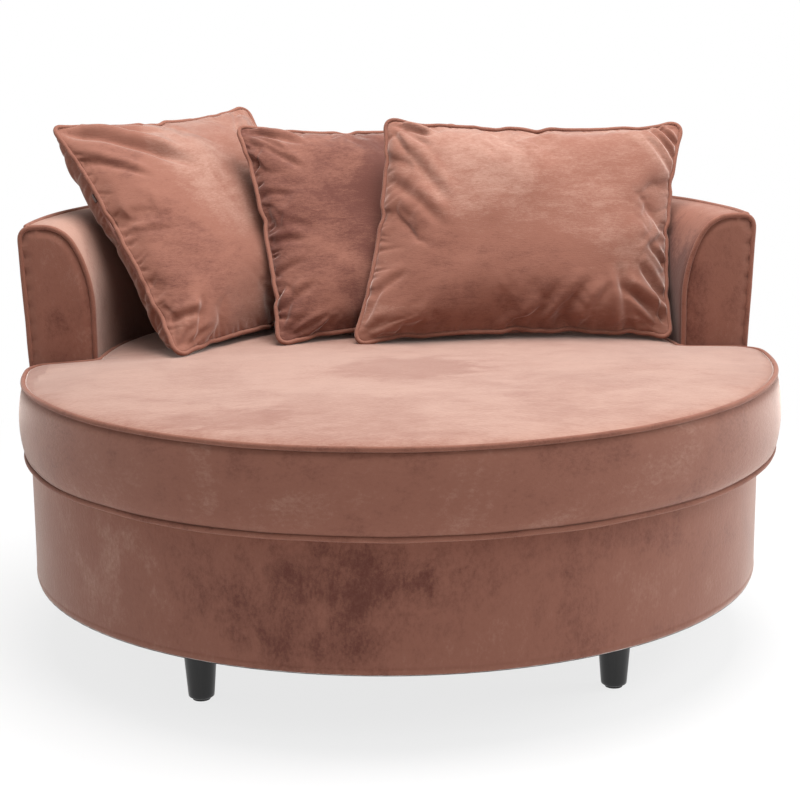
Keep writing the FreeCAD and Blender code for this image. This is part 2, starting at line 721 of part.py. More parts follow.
def pillow_contour(tips, share, height):
    """One level line of a pillow: four sides drawn in between round tips, all arcs that meet in tangents."""
    points = [vector(x, y, 0) for x, y in tips]
    middle = (points[0] + points[1] + points[2] + points[3]) * 0.25
    points = [middle + (point - middle) * share for point in points]
    tip = size("pillow_tip") + size("pillow_top_softness") * (1 - share)
    draw = side_draw(share)
    centres = []
    tip_middles = []
    for number, here in enumerate(points):
        ahead = (points[(number + 1) % 4] - here).normalize()
        back = (points[number - 1] - here).normalize()
        centre = here + (ahead + back) * (tip / ahead.cross(back).Length)
        centres.append(centre)
        tip_middles.append(centre - (ahead + back).normalize() * tip)
    sides = []
    for number, start in enumerate(centres):
        end = centres[(number + 1) % 4]
        half_span = (end - start).Length / 2
        along = (end - start).normalize()
        outward = vector(along.y, -along.x, 0)
        reach = (half_span ** 2 + draw ** 2) / (2 * draw)
        arc_centre = (start + end) * 0.5 + outward * (reach - draw)
        sides.append((start + (arc_centre - start) * (tip / reach),
                      (start + end) * 0.5 + outward * (tip - draw),
                      end + (arc_centre - end) * (tip / reach)))
    edges = []
    for number, (start, side_middle, end) in enumerate(sides):
        edges.append(Part.Arc(sides[number - 1][2], tip_middles[number], start).toShape())
        edges.append(Part.Arc(start, side_middle, end).toShape())
    wire = Part.Wire(edges)
    wire.translate(vector(0, 0, height))
    return wire


def inner_tips(tips, seam):
    middle_x = sum(x for x, y in tips) / 4
    middle_y = sum(y for x, y in tips) / 4
    return [(x - math.copysign(seam, x - middle_x), y - math.copysign(seam, y - middle_y)) for x, y in tips]


def pillow_half(tips, crown):
    half = Part.makeLoft([pillow_contour(tips, share, crown * rise) for share, rise in pillow_levels], True, False)
    if half.Volume < 0:
        half.reverse()
    return half


def pillow_zip(tips, side):
    """Tape and slider of the zip beside the cord: a straight tape across the drawn-in side."""
    here = vector(tips[side][0], tips[side][1], 0)
    ahead = vector(tips[(side + 1) % 4][0], tips[(side + 1) % 4][1], 0)
    along = (ahead - here).normalize()
    inward = vector(-along.y, along.x, 0)
    length = size("pillow_zip_length")
    width = size("pillow_zip_width")
    tape = size("zip_tape_thickness")
    gap = size("rest_gap")
    reach = (ahead - here).Length - 2 * size("pillow_tip")
    # the side is an arc: its depth at the ends of the tape gives the chord that the tape lies on
    depth = side_draw(1.0) * (1 - (length / reach) ** 2)
    place = (here + ahead) * 0.5 + inward * depth - along * (length / 2)
    turn = FreeCAD.Rotation(along, inward, vector(0, 0, 1), "XYZ")
    below = -size("pillow_piping_radius") - gap - width
    strip = Part.makeBox(length, tape, width, vector(0, -tape, below))
    slider_length = size("zip_slider_length")
    thick = size("zip_slider_thickness")
    slider = Part.makeBox(slider_length, thick, width, vector(0, -tape - gap - thick, below))
    for shape in (strip, slider):
        shape.Placement = FreeCAD.Placement(place, turn)
    return strip, slider


def pillow(label, plan):
    tips = plan["tips"]
    skin = size("pillow_cover")
    inner = inner_tips(tips, size("pillow_seam"))
    seam = pillow_contour(tips, 1.0, 0.0)
    first = seam.Edges[0]
    cord = swept(seam.Edges, size("pillow_piping_radius"), first.Vertexes[0].Point,
                 first.tangentAt(first.FirstParameter))
    front_filling = pillow_half(inner, plan["front"] - skin)
    back_filling = pillow_half(inner, skin - plan["back"])
    front_panel = pillow_half(tips, plan["front"]).cut(front_filling).cut(cord)
    back_panel = pillow_half(tips, -plan["back"]).cut(back_filling).cut(cord)
    filling = front_filling.fuse(back_filling).removeSplitter().cut(cord)
    tape, slider = pillow_zip(tips, plan["zip_side"])
    yaw = math.radians(plan["yaw"])
    lean = math.radians(plan["lean"])
    across = vector(math.cos(yaw), math.sin(yaw), 0)
    facing = vector(math.sin(yaw), -math.cos(yaw), 0)
    up = vector(0, 0, math.cos(lean)) - facing * math.sin(lean)
    out = facing * math.cos(lean) + vector(0, 0, math.sin(lean))
    foot = vector(*plan["foot"]) + vector(0, 0, top_seam_mm + size("seat_crown"))
    place = FreeCAD.Placement(foot, FreeCAD.Rotation(across, up, out, "XYZ"))
    pieces = {"front_panel": largest(front_panel), "back_panel": largest(back_panel), "filling": largest(filling),
              "piping": cord, "zip_tape": tape, "zip_slider": slider}
    for name, shape in pieces.items():
        thing = feature("%s_%s" % (label, name), shape)
        thing.Placement = place.multiply(shape.Placement)


legs()
base_frame()
webbing()
base_upholstery()
tub_frame()
tub_upholstery()
seat_cushion()
for label, plan in pillows.items():
    pillow(label, plan)
doc.recompute()

# Nothing is written unless every object is sound

for thing in doc.Objects:
    if "Invalid" in thing.State or "Error" in thing.State:
        raise RuntimeError("%s did not build: %s" % (thing.Label, thing.State))
for label, thing in nodes.items():
    if thing.Shape.isNull() or not thing.Shape.isValid() or not thing.Shape.Solids:
        raise RuntimeError("%s has no sound solid" % label)

os.makedirs("parts", exist_ok=True)
for label, thing in nodes.items():
    thing.Shape.exportStep("parts/%s.step" % label)
    print("%-24s %2d solids %10.1f cm3" % (label, len(thing.Shape.Solids), thing.Shape.Volume / 1000))
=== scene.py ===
import json
import math
import bmesh
import bpy
import numpy as np
from mathutils import Matrix, Vector, noise
from mathutils.bvhtree import BVHTree


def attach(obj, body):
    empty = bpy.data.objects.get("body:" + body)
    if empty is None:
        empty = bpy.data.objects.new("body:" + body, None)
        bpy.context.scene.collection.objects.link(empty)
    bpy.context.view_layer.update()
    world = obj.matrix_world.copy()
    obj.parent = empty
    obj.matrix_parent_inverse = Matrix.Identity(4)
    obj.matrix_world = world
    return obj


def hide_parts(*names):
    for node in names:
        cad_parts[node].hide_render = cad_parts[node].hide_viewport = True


# Round armchair in rose velvet. Metres, +Z up, the sitter faces -Y.

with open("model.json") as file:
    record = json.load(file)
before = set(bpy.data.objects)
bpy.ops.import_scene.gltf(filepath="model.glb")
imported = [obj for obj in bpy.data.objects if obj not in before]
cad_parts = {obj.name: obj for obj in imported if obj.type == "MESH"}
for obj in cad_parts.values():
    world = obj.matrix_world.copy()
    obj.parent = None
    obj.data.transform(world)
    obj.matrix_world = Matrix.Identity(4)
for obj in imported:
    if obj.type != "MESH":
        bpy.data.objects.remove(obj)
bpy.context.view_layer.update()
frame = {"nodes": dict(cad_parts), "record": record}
nodes = frame["nodes"]
scene = bpy.context.scene
scene.view_settings.view_transform = "Standard"

# sizes that more than one piece needs
chair = {
    "axisY": 0.024,           # the base and the tub turn about this line
    "baseRadius": 0.62,
    "tubInner": 0.514,
    "armFront": 0.071,
    "armTop": 0.706,
    "armCorner": 0.02,
    "armLean": 0.045,         # how far the outer wall leans out for each metre up
    "shoulderAcross": 0.082,
    "shoulderDown": 0.147,
    "shoulderSmall": 0.06,
    "deckHeight": 0.338,
    "baseBottom": 0.126,
    "pipingRadius": 0.0046,
    "innerStep": 0.0245,      # between the rows of points up the tub's walls
    "outerStep": 0.029,
}


# Node helpers

def addNode(tree, kind, inputs=None, **settings):
    # an input is a number, a colour or the socket of another node
    node = tree.nodes.new(kind)
    for name, value in settings.items():
        setattr(node, name, value)
    for name, value in (inputs or {}).items():
        if isinstance(value, bpy.types.NodeSocket):
            tree.links.new(value, node.inputs[name])
        else:
            node.inputs[name].default_value = value
    return node


def addMath(tree, operation, *values):
    return addNode(tree, "ShaderNodeMath", dict(enumerate(values)), operation=operation).outputs[0]


def addVectorMath(tree, operation, *values):
    return addNode(tree, "ShaderNodeVectorMath", dict(enumerate(values)), operation=operation).outputs


def addNoise(tree, vector, scale, detail, roughness=0.5, distortion=0.0):
    inputs = {"Vector": vector, "Scale": scale, "Detail": detail, "Roughness": roughness, "Distortion": distortion}
    return addNode(tree, "ShaderNodeTexNoise", inputs).outputs["Fac"]


def addRange(tree, value, low, high, start=0.0):
    inputs = {"Value": value, "From Min": low, "From Max": high, "To Min": start}
    return addNode(tree, "ShaderNodeMapRange", inputs, interpolation_type="SMOOTHSTEP").outputs["Result"]


def addMix(tree, share, first, second):
    return addNode(tree, "ShaderNodeMixShader", {0: share, 1: first.outputs[0], 2: second.outputs[0]}).outputs[0]


def emptyTree(owner):
    owner.use_nodes = True
    owner.node_tree.nodes.clear()
    return owner.node_tree


def newGroup(name, inputs, outputs):
    group = bpy.data.node_groups.new(name, "ShaderNodeTree")
    for title, kind, value in inputs:
        socket = group.interface.new_socket(title, in_out="INPUT", socket_type="NodeSocket" + kind)
        if value is not None:
            socket.default_value = value
    for title in outputs:
        group.interface.new_socket(title, in_out="OUTPUT", socket_type="NodeSocketFloat")
    return group, addNode(group, "NodeGroupInput").outputs, addNode(group, "NodeGroupOutput").inputs


# Camera, floor and light

def placeCamera():
    view = {"place": (-0.1823, -3.3059, 1.141), "yaw": 0.0579, "pitch": 0.2186, "roll": -0.0099, "lens": 88.93,
            "sensor": 36}
    data = bpy.data.cameras.new("camera")
    data.sensor_width = view["sensor"]
    data.lens = view["lens"]
    camera = bpy.data.objects.new("camera", data)
    place = Matrix.Translation(view["place"])
    for turn, axis in ((-view["yaw"], "Z"), (math.pi / 2 - view["pitch"], "X"), (view["roll"], "Z")):
        place = place @ Matrix.Rotation(turn, 4, axis)
    camera.matrix_world = place
    scene.collection.objects.link(camera)
    scene.camera = camera


def seesBackground(tree):
    # 1 for the camera, and for what is seen in gloss or through glass
    path = addNode(tree, "ShaderNodeLightPath").outputs
    seen = addMath(tree, "MAXIMUM", path["Is Camera Ray"], path["Is Glossy Ray"])
    return addMath(tree, "MAXIMUM", seen, path["Is Transmission Ray"])


def lightStage():
    room = {"ambient": 0.3, "target": (0, 0, 0.4)}
    softboxes = {
        # place, size and power
        "keyLight": ((1.3, -2.8, 2.6), (1.6, 1.6), 26),
        "rightLight": ((3.0, 0.1, 1.4), (1.2, 2.2), 47),
        "leftLight": ((-3.0, 0.1, 1.4), (1.2, 2.2), 10),
        "topLight": ((0.2, -0.1, 3.0), (2.2, 1.8), 135),
    }
    for name, (place, size, power) in softboxes.items():
        data = bpy.data.lights.new(name, "AREA")
        data.shape = "RECTANGLE"
        data.size, data.size_y = size
        data.energy = power
        lamp = bpy.data.objects.new(name, data)
        lamp.location = place
        lamp.rotation_euler = (Vector(room["target"]) - Vector(place)).to_track_quat("-Z", "Y").to_euler()
        scene.collection.objects.link(lamp)
    world = bpy.data.worlds.new("whiteRoom")
    tree = emptyTree(world)
    plain = addNode(tree, "ShaderNodeBackground", {"Strength": room["ambient"]})
    white = addNode(tree, "ShaderNodeBackground", {"Color": (1, 1, 1, 1)})
    addNode(tree, "ShaderNodeOutputWorld", {"Surface": addMix(tree, seesBackground(tree), plain, white)})
    scene.world = world


def layFloor():
    # the floor is matt near the chair, where its shadow lies, and fades to white further out
    paleFloor = {"halfWidth": 12.0, "tone": 0.97, "shadowStarts": 0.7, "shadowEnds": 1.9, "shadowStrength": 0.22}
    build = bmesh.new()
    bmesh.ops.create_grid(build, x_segments=1, y_segments=1, size=paleFloor["halfWidth"])
    floor = bpy.data.objects.new("floor", meshFrom(build, "floor"))
    scene.collection.objects.link(floor)
    material = bpy.data.materials.new("paleFloor")
    tree = emptyTree(material)
    place = addNode(tree, "ShaderNodeTexCoord").outputs["Object"]
    distance = addVectorMath(tree, "LENGTH", place)["Value"]
    fade = addRange(tree, distance, paleFloor["shadowStarts"], paleFloor["shadowEnds"],
                    1 - paleFloor["shadowStrength"])
    matt = addNode(tree, "ShaderNodeBsdfDiffuse", {"Color": (*(paleFloor["tone"],) * 3, 1)})
    glow = addNode(tree, "ShaderNodeEmission", {"Strength": 1.0})
    white = addMath(tree, "MULTIPLY", fade, seesBackground(tree))
    addNode(tree, "ShaderNodeOutputMaterial", {"Surface": addMix(tree, white, matt, glow)})
    floor.data.materials.append(material)


def meshFrom(build, name):
    mesh = bpy.data.meshes.new(name)
    build.to_mesh(mesh)
    build.free()
    return mesh


def faceOutwards(build):
    bmesh.ops.recalc_face_normals(build, faces=build.faces)


placeCamera()
lightStage()
layFloor()
print("camera, light and floor are set")


# Finishes

def makeNapGroup():
    # the pile lies one way or another in soft-edged patches, with fine strokes and a short pile on top
    group, enter, leave = newGroup(
        "velvetNap",
        [("Vector", "Vector", None), ("Patch Scale", "Float", 5.0), ("Patch Amount", "Float", 0.5),
         ("Stroke Stretch", "Vector", (1.0, 1.0, 4.0))],
        ("Shade", "Rag", "Height"))
    vector = enter["Vector"]
    patches = addRange(group, addNoise(group, vector, enter["Patch Scale"], 3.0, 0.6, 0.8), 0.38, 0.62)
    stretched = addVectorMath(group, "MULTIPLY", vector, enter["Stroke Stretch"])["Vector"]
    strokes = addNoise(group, stretched, 20.0, 3.0, 0.62, 0.5)
    fine = addNoise(group, stretched, 130.0, 1.0, 0.6)
    pile = addNoise(group, vector, 620.0, 0.0)
    shade = 0.5
    for pattern, amount in ((patches, enter["Patch Amount"]), (strokes, 0.3), (fine, 0.2), (pile, 0.1)):
        shade = addMath(group, "MULTIPLY_ADD", addMath(group, "SUBTRACT", pattern, 0.5), amount, shade)
    group.links.new(shade, leave["Shade"])
    group.links.new(strokes, leave["Rag"])
    height = addMath(group, "MULTIPLY_ADD", fine, 0.6, addMath(group, "MULTIPLY", pile, 0.4))
    group.links.new(height, leave["Height"])
    return group


def makeBrushAndShadeMarkGroup():
    # one soft patch, ragged at its rim; it serves both for places where the pile is brushed down and for painted
    # light and shade
    group, enter, leave = newGroup(
        "brushAndShadeMark",
        [("Vector", "Vector", None), ("Centre", "Vector", (0.0, 0.0, 0.0)), ("Stretch", "Vector", (10.0, 10.0, 10.0)),
         ("Rag", "Float", 0.5), ("Rag Amount", "Float", 0.6)],
        ("Mask",))
    offset = addVectorMath(group, "SUBTRACT", enter["Vector"], enter["Centre"])["Vector"]
    scaled = addVectorMath(group, "MULTIPLY", offset, enter["Stretch"])["Vector"]
    distance = addVectorMath(group, "LENGTH", scaled)["Value"]
    ragged = addMath(group, "MULTIPLY_ADD", addMath(group, "SUBTRACT", enter["Rag"], 0.5), enter["Rag Amount"],
                     distance)
    mask = addMath(group, "SUBTRACT", 1.0, addRange(group, ragged, 0.45, 1.0))
    group.links.new(mask, leave["Mask"])
    return group


napGroup = makeNapGroup()
brushAndShadeGroup = makeBrushAndShadeMarkGroup()


def rampColour(tree, factor, stops):
    ramp = addNode(tree, "ShaderNodeValToRGB", {"Fac": factor})
    ramp.color_ramp.interpolation = "EASE"
    while len(ramp.color_ramp.elements) < len(stops):
        ramp.color_ramp.elements.new(0.5)
    for element, (place, colour) in zip(ramp.color_ramp.elements, stops):
        element.position = place
        element.color = (*colour, 1)
    return ramp.outputs["Color"]


def startFinish(name):
    material = bpy.data.materials.new(name)
    material.use_nodes = True
    tree = material.node_tree
    return material, tree, tree.nodes["Principled BSDF"], addNode(tree, "ShaderNodeTexCoord").outputs["Object"]


def finishSurface(tree, shader, colour, rough, height, strength, depth, values):
    bump = addNode(tree, "ShaderNodeBump", {"Strength": strength, "Distance": depth, "Height": height})
    for name, socket in (("Base Color", colour), ("Roughness", rough), ("Normal", bump.outputs["Normal"])):
        tree.links.new(socket, shader.inputs[name])
    for name, value in values.items():
        shader.inputs[name].default_value = value


velvetTones = {
    "deep": (0.105, 0.034, 0.024),
    "middle": (0.225, 0.092, 0.063),
    "pale": (0.35, 0.198, 0.152),
    "sheen": (1.0, 0.84, 0.77),
}


def velvet(name, patchScale, patchAmount, stretch, shift, sheen=1.0, marks=()):
    # shift makes the whole cloth paler or deeper (painted light on the seat top, painted shade on the middle pillow);
    # each mark is a centre, its reach, how much paler, how ragged: some are brushed pile, others painted light and
    # shade
    material, tree, shader, place = startFinish(name)
    nap = addNode(tree, "ShaderNodeGroup", {"Vector": place, "Patch Scale": patchScale, "Patch Amount": patchAmount,
                                            "Stroke Stretch": stretch}, node_tree=napGroup).outputs
    shade = addMath(tree, "ADD", nap["Shade"], shift)
    for centre, reach, amount, rag in marks:
        inputs = {"Vector": place, "Centre": centre, "Stretch": tuple(1 / size for size in reach),
                  "Rag": nap["Rag"], "Rag Amount": rag}
        mark = addNode(tree, "ShaderNodeGroup", inputs, node_tree=brushAndShadeGroup)
        shade = addMath(tree, "MULTIPLY_ADD", mark.outputs["Mask"], amount, shade)
    stops = zip((0.16, 0.5, 0.84), (velvetTones["deep"], velvetTones["middle"], velvetTones["pale"]))
    rough = addMath(tree, "MULTIPLY_ADD", nap["Height"], -0.2, 0.95)
    finishSurface(tree, shader, rampColour(tree, shade, list(stops)), rough, nap["Height"], 0.3, 0.0015,
                  {"Specular IOR Level": 0.2, "Sheen Weight": sheen, "Sheen Roughness": 0.36,
                   "Sheen Tint": (*velvetTones["sheen"], 1)})
    return material


def plainFinish(name, dark, light, scale, stretch=(1.0, 1.0, 1.0), rough=(0.4, 0.6), depth=0.0005, metal=0.0):
    # a mottled or grained finish: two tones through stretched noise
    material, tree, shader, place = startFinish(name)
    mapping = addNode(tree, "ShaderNodeMapping", {"Vector": place, "Scale": stretch})
    grain = addNoise(tree, mapping.outputs["Vector"], scale, 4.0, 0.6, 0.4)
    colour = rampColour(tree, grain, [(0.3, dark), (0.7, light)])
    roughness = addMath(tree, "MULTIPLY_ADD", grain, rough[1] - rough[0], rough[0])
    finishSurface(tree, shader, colour, roughness, grain, 0.4, depth, {"Metallic": metal})
    return material


seatMarks = [
    ((0.02, -0.15, 0.49), (0.15, 0.11, 0.2), -0.17, 0.9),
    ((-0.27, -0.47, 0.49), (0.13, 0.08, 0.2), -0.12, 0.9),
]
# on the base the first two marks darken the front middle just under the cushion, painted shade below its overhang;
# the third is a brushed line on the right; the last is painted light on the left side
baseBrushAndShadeMarks = [
    ((-0.09, -0.59, 0.285), (0.17, 0.2, 0.065), -0.1, 0.6),
    ((-0.12, -0.58, 0.22), (0.26, 0.2, 0.1), -0.09, 0.5),
    ((0.41, -0.43, 0.2), (0.16, 0.14, 0.07), 0.06, 0.8),
    ((-0.53, -0.3, 0.25), (0.3, 0.3, 0.26), 0.11, 0.25),
]
facingMarks = [
    ((0.522, 0.07, 0.47), (0.048, 0.1, 0.23), -0.14, 0.2),
    ((-0.575, 0.07, 0.5), (0.03, 0.1, 0.07), -0.07, 0.9),
]
# painted shade low on the right inside wall, which turns away from the light, and painted light on the left inside
# wall
insideLightAndShade = [
    ((0.54, 0.22, 0.44), (0.22, 0.45, 0.3), -0.5, 0.2),
    ((-0.54, 0.22, 0.56), (0.22, 0.4, 0.26), 0.3, 0.2),
]
# the seat top is the band's cloth shifted paler: painted light where the top faces the light from above; its marks
# are brushed pile
velvetSeat = velvet("velvetSeat", 4.0, 0.1, (1.0, 2.2, 1.0), 0.2, marks=seatMarks)
velvetBand = velvet("velvetBand", 4.5, 0.16, (1.0, 1.0, 1.6), 0.0)
velvetBase = velvet("velvetBase", 6.0, 0.12, (1.6, 1.6, 1.0), -0.04, marks=baseBrushAndShadeMarks)
velvetTub = velvet("velvetTub", 5.0, 0.16, (1.5, 1.5, 1.0), -0.02)
velvetFacing = velvet("velvetFacing", 7.0, 0.1, (1.4, 1.0, 1.0), -0.02, marks=facingMarks)
# the inside walls take a copy of the velvet with less sheen, carrying that painted light and shade
velvetInside = velvet("velvetInside", 5.0, 0.16, (1.5, 1.5, 1.0), 0.02, 0.35, insideLightAndShade)
velvetPiping = velvet("velvetPiping", 9.0, 0.12, (3.0, 3.0, 3.0), -0.04, 0.3)
finishes = {
    "velvet": velvetBand,
    "velvet_piping": velvetPiping,
    "leg_black": plainFinish("legBlack", (0.006, 0.006, 0.0065), (0.012, 0.011, 0.011), 40.0, (3.0, 3.0, 0.4),
                             (0.28, 0.42), 0.0002),
    "glide_black": plainFinish("gliderBlack", (0.02, 0.02, 0.02), (0.035, 0.035, 0.035), 300.0, rough=(0.5, 0.65)),
    "zinc_steel": plainFinish("zincSteel", (0.45, 0.46, 0.47), (0.62, 0.63, 0.64), 200.0, rough=(0.25, 0.4),
                              metal=1.0),
    "plywood": plainFinish("birchPly", (0.5, 0.35, 0.2), (0.68, 0.52, 0.34), 14.0, (1.0, 6.0, 1.0), (0.5, 0.7)),
    "tackboard": plainFinish("hardboard", (0.2, 0.13, 0.07), (0.3, 0.2, 0.12), 160.0, rough=(0.6, 0.8)),
    "foam": plainFinish("foamCream", (0.7, 0.62, 0.44), (0.8, 0.74, 0.56), 420.0, rough=(0.85, 0.95), depth=0.001),
    "wadding": plainFinish("waddingWhite", (0.72, 0.72, 0.7), (0.85, 0.85, 0.84), 90.0, rough=(0.9, 1.0),
                           depth=0.002),
    "webbing": plainFinish("webbingBlack", (0.015, 0.015, 0.015), (0.05, 0.05, 0.05), 500.0, rough=(0.7, 0.9)),
    "lining": plainFinish("liningBlack", (0.01, 0.01, 0.01), (0.022, 0.022, 0.022), 380.0, rough=(0.85, 0.95)),
    "zip_tape": plainFinish("zipRose", (0.2, 0.085, 0.065), (0.32, 0.15, 0.12), 520.0, rough=(0.7, 0.85)),
    "zip_metal": plainFinish("zipMetal", (0.07, 0.045, 0.038), (0.12, 0.08, 0.07), 300.0, rough=(0.45, 0.6),
                             metal=0.8),
}
for part in frame["record"]["subparts"]:
    materials = nodes[part["node"]].data.materials
    materials.clear()
    materials.append(finishes[part["material_slot"]])
print("finishes are mixed")


# Helpers for new pieces

def addPiece(name, mesh, body, material, stands, smooth=1):
    piece = bpy.data.objects.new(name, mesh)
    scene.collection.objects.link(piece)
    mesh.materials.append(material)
    mesh.shade_smooth()
    if smooth:
        softened = piece.modifiers.new("softened", "SUBSURF")
        softened.levels = softened.render_levels = smooth
    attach(piece, body)
    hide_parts(*stands)
    return piece


def spinProfile(profile, steps, closed=True, angle=2 * math.pi):
    # turns a profile, given as distances and heights, about the upright axis
    build = bmesh.new()
    chain = [build.verts.new((distance, 0, height)) for distance, height in profile]
    following = chain[1:] + chain[:1] if closed else chain[1:]
    edges = [build.edges.new(pair) for pair in zip(chain, following)]
    whole = angle == 2 * math.pi
    bmesh.ops.spin(build, geom=chain + edges, cent=(0, 0, 0), axis=(0, 0, 1), angle=angle, steps=steps,
                   use_merge=whole)
    if whole:
        bmesh.ops.remove_doubles(build, verts=build.verts, dist=1e-5)
        faceOutwards(build)
    return build


def arcPoints(centre, radius, start, end, count):
    # angles in degrees, counted up from the side that faces the sitter
    turns = [math.radians(start + (end - start) * step / count) for step in range(count + 1)]
    return [(centre[0] - radius * math.cos(turn), centre[1] + radius * math.sin(turn)) for turn in turns]


def outerWall(height):
    return chair["baseRadius"] + chair["armLean"] * (height - chair["deckHeight"])


def tubSection(inset=0.0):
    # the arm's section as distance from the axis and height, from the inner foot to the outer foot
    inner, top = chair["tubInner"], chair["armTop"]
    across, down, small = chair["shoulderAcross"], chair["shoulderDown"], chair["shoulderSmall"]
    large = (across ** 2 + down ** 2 - 2 * down * small) / (2 * (across - small))
    largeCentre = (inner + large, top - down)
    smallCentre = (inner + across, top - small)
    joinTurn = math.degrees(math.atan2(smallCentre[1] - largeCentre[1], largeCentre[0] - smallCentre[0]))
    corner = chair["armCorner"]
    cornerCentre = (outerWall(top - corner) - corner, top - corner)
    inside = [(inner + inset, chair["deckHeight"] + step * chair["innerStep"]) for step in range(9)]
    inside += arcPoints(largeCentre, large - inset, 0, joinTurn, 8)
    inside += arcPoints(smallCentre, small - inset, joinTurn, 90, 8)[1:]
    roll = arcPoints(cornerCentre, corner - inset, 90, 180, 8)
    heights = [top - corner - step * chair["outerStep"] for step in range(1, 13)]
    outside = [(outerWall(height) - inset, height) for height in heights]
    return inside, roll, outside


def bumpy(place, scale, amount, seed=0.0):
    return noise.noise(Vector(place) * scale + Vector((seed, seed * 1.7, -seed))) * amount


def tubeMesh(name, points, radius, sides=12, closed=False, wobble=0.0):
    # a sewn cord along points: a ring of vertices at each, kept level by a running frame
    count = len(points)
    turns = [2 * math.pi * step / sides for step in range(sides)]
    build = bmesh.new()
    rings = []
    normal = None
    for number, point in enumerate(points):
        before = points[number - 1] if number or closed else point
        after = points[(number + 1) % count] if number + 1 < count or closed else point
        tangent = (after - before).normalized()
        if normal is None:
            normal = tangent.orthogonal().normalized()
        normal = (normal - tangent * normal.dot(tangent)).normalized()
        side = tangent.cross(normal)
        size = radius * (1 + bumpy(point, 90.0, wobble, 3.1))
        rings.append([build.verts.new(point + (normal * math.cos(turn) + side * math.sin(turn)) * size)
                      for turn in turns])
    offset = 0
    if closed:
        # the running frame comes back turned, so the last ring joins the first at the nearest step
        first = rings[0]
        offset = min(range(sides), key=lambda shift: (rings[-1][shift].co - first[0].co).length)
    for number in range(count if closed else count - 1):
        ring, following = rings[number], rings[(number + 1) % count]
        turned = offset if number + 1 == count else 0
        for step in range(sides):
            build.faces.new((ring[(step + turned) % sides], ring[(step + 1 + turned) % sides],
                             following[(step + 1) % sides], following[step]))
    if not closed:
        for ring in (rings[0], rings[-1]):
            build.faces.new(ring)
    faceOutwards(build)
    return meshFrom(build, name)


def addCord(name, points, body, node, radius=chair["pipingRadius"], closed=False, wobble=0.05):
    mesh = tubeMesh(name, points, radius, closed=closed, wobble=wobble)
    addPiece(name, mesh, body, velvetPiping, [node])


def smoothLoop(points, rounds):
    points = np.array(points, dtype=float)
    for _ in range(rounds):
        points = (np.roll(points, 1, axis=0) + 2 * points + np.roll(points, -1, axis=0)) / 4
    return points


def resample(points, spacing):
    places = np.array([tuple(point) for point in points])
    lengths = np.concatenate([[0], np.cumsum(np.linalg.norm(np.diff(places, axis=0), axis=1))])
    count = max(2, int(round(lengths[-1] / spacing)) + 1)
    wanted = np.linspace(0, lengths[-1], count)
    return [Vector([float(np.interp(want, lengths, places[:, axis])) for axis in range(3)]) for want in wanted]


# Legs

def makeLegs():
    leg = {"topRadius": 0.03, "footRadius": 0.0205, "edge": 0.0025, "foot": 0.004, "top": 0.1262, "steps": 48}
    places = {"leg_front_left": (-0.33, -0.328), "leg_front_right": (0.33, -0.328),
              "leg_rear_left": (-0.33, 0.376), "leg_rear_right": (0.33, 0.376)}
    foot, edge, radius = leg["foot"], leg["edge"], leg["footRadius"]
    profile = [(0.0, foot), (radius - 2 * edge, foot), (radius - edge, foot + 0.0004),
               (radius - 0.3 * edge, foot + 0.0016), (radius, foot + edge)]
    profile += [(radius + (leg["topRadius"] - radius) * share, foot + (leg["top"] - foot) * share)
                for share in (0.06, 0.25, 0.5, 0.75, 0.97, 1.0)]
    profile.append((0.0, leg["top"]))
    for name, (x, y) in places.items():
        build = spinProfile(profile, leg["steps"], closed=False)
        bmesh.ops.translate(build, verts=build.verts, vec=(x, y, 0))
        addPiece(name.replace("leg_", "turnedLeg_"), meshFrom(build, name), "root",
                 finishes["leg_black"], [name], 0)


makeLegs()
print("legs are turned")


# Base cover, with a hem that turns under

def makeBase():
    base = {"hemHeight": 0.012, "hemProud": 0.0009, "roll": 0.005, "thickness": 0.0022, "steps": 256,
            "sag": 0.0011, "turnIn": 0.016, "depth": 0.006, "lip": 0.008}
    radius, low, high = chair["baseRadius"], chair["baseBottom"], chair["deckHeight"]
    roll = base["roll"]
    hem, turnIn, depth, lip = low + base["hemHeight"], radius - base["turnIn"], base["depth"], base["lip"]
    outer = [(turnIn, low + 0.0002)]
    outer += [(radius - roll + roll * math.sin(turn), low + roll - roll * math.cos(turn))
              for turn in (0.0, 0.5, 1.0, math.pi / 2)]
    outer += [(radius + base["hemProud"], hem - 0.002), (radius - 0.0006, hem), (radius, hem + 0.003)]
    outer += [(radius, hem + (high - low - base["hemHeight"] - roll) * share)
              for share in (0.1, 0.22, 0.34, 0.46, 0.58, 0.7, 0.82, 0.92, 1.0)]
    outer += [(radius - roll + roll * math.cos(turn), high - roll + roll * math.sin(turn))
              for turn in (0.5, 1.0, math.pi / 2)]
    outer.append((turnIn, high))
    inner = [(turnIn, high - base["thickness"]), (radius - depth, high - lip), (radius - depth, low + lip),
             (turnIn, low + base["thickness"])]
    build = spinProfile(outer + inner, base["steps"])
    for vert in build.verts:
        flat = Vector((vert.co.x, vert.co.y, 0))
        if flat.length > radius - 0.004:
            fade = math.sin(math.pi * min(1, max(0, (vert.co.z - low) / (high - low)))) ** 0.5
            push = bumpy(vert.co, 5.0, base["sag"]) + bumpy(vert.co, 14.0, base["sag"] * 0.4, 2.0)
            ripple = bumpy(vert.co, 30.0, 0.0005, 5.0) if vert.co.z < low + 0.02 else 0
            vert.co += flat.normalized() * (push * fade + ripple)
    bmesh.ops.translate(build, verts=build.verts, vec=(0, chair["axisY"], 0))
    addPiece("baseCover", meshFrom(build, "baseCover"), "root", velvetBase, ["base_cover"])


makeBase()
print("base is covered")


# Tub: the covers inside and outside, the facings and the cords

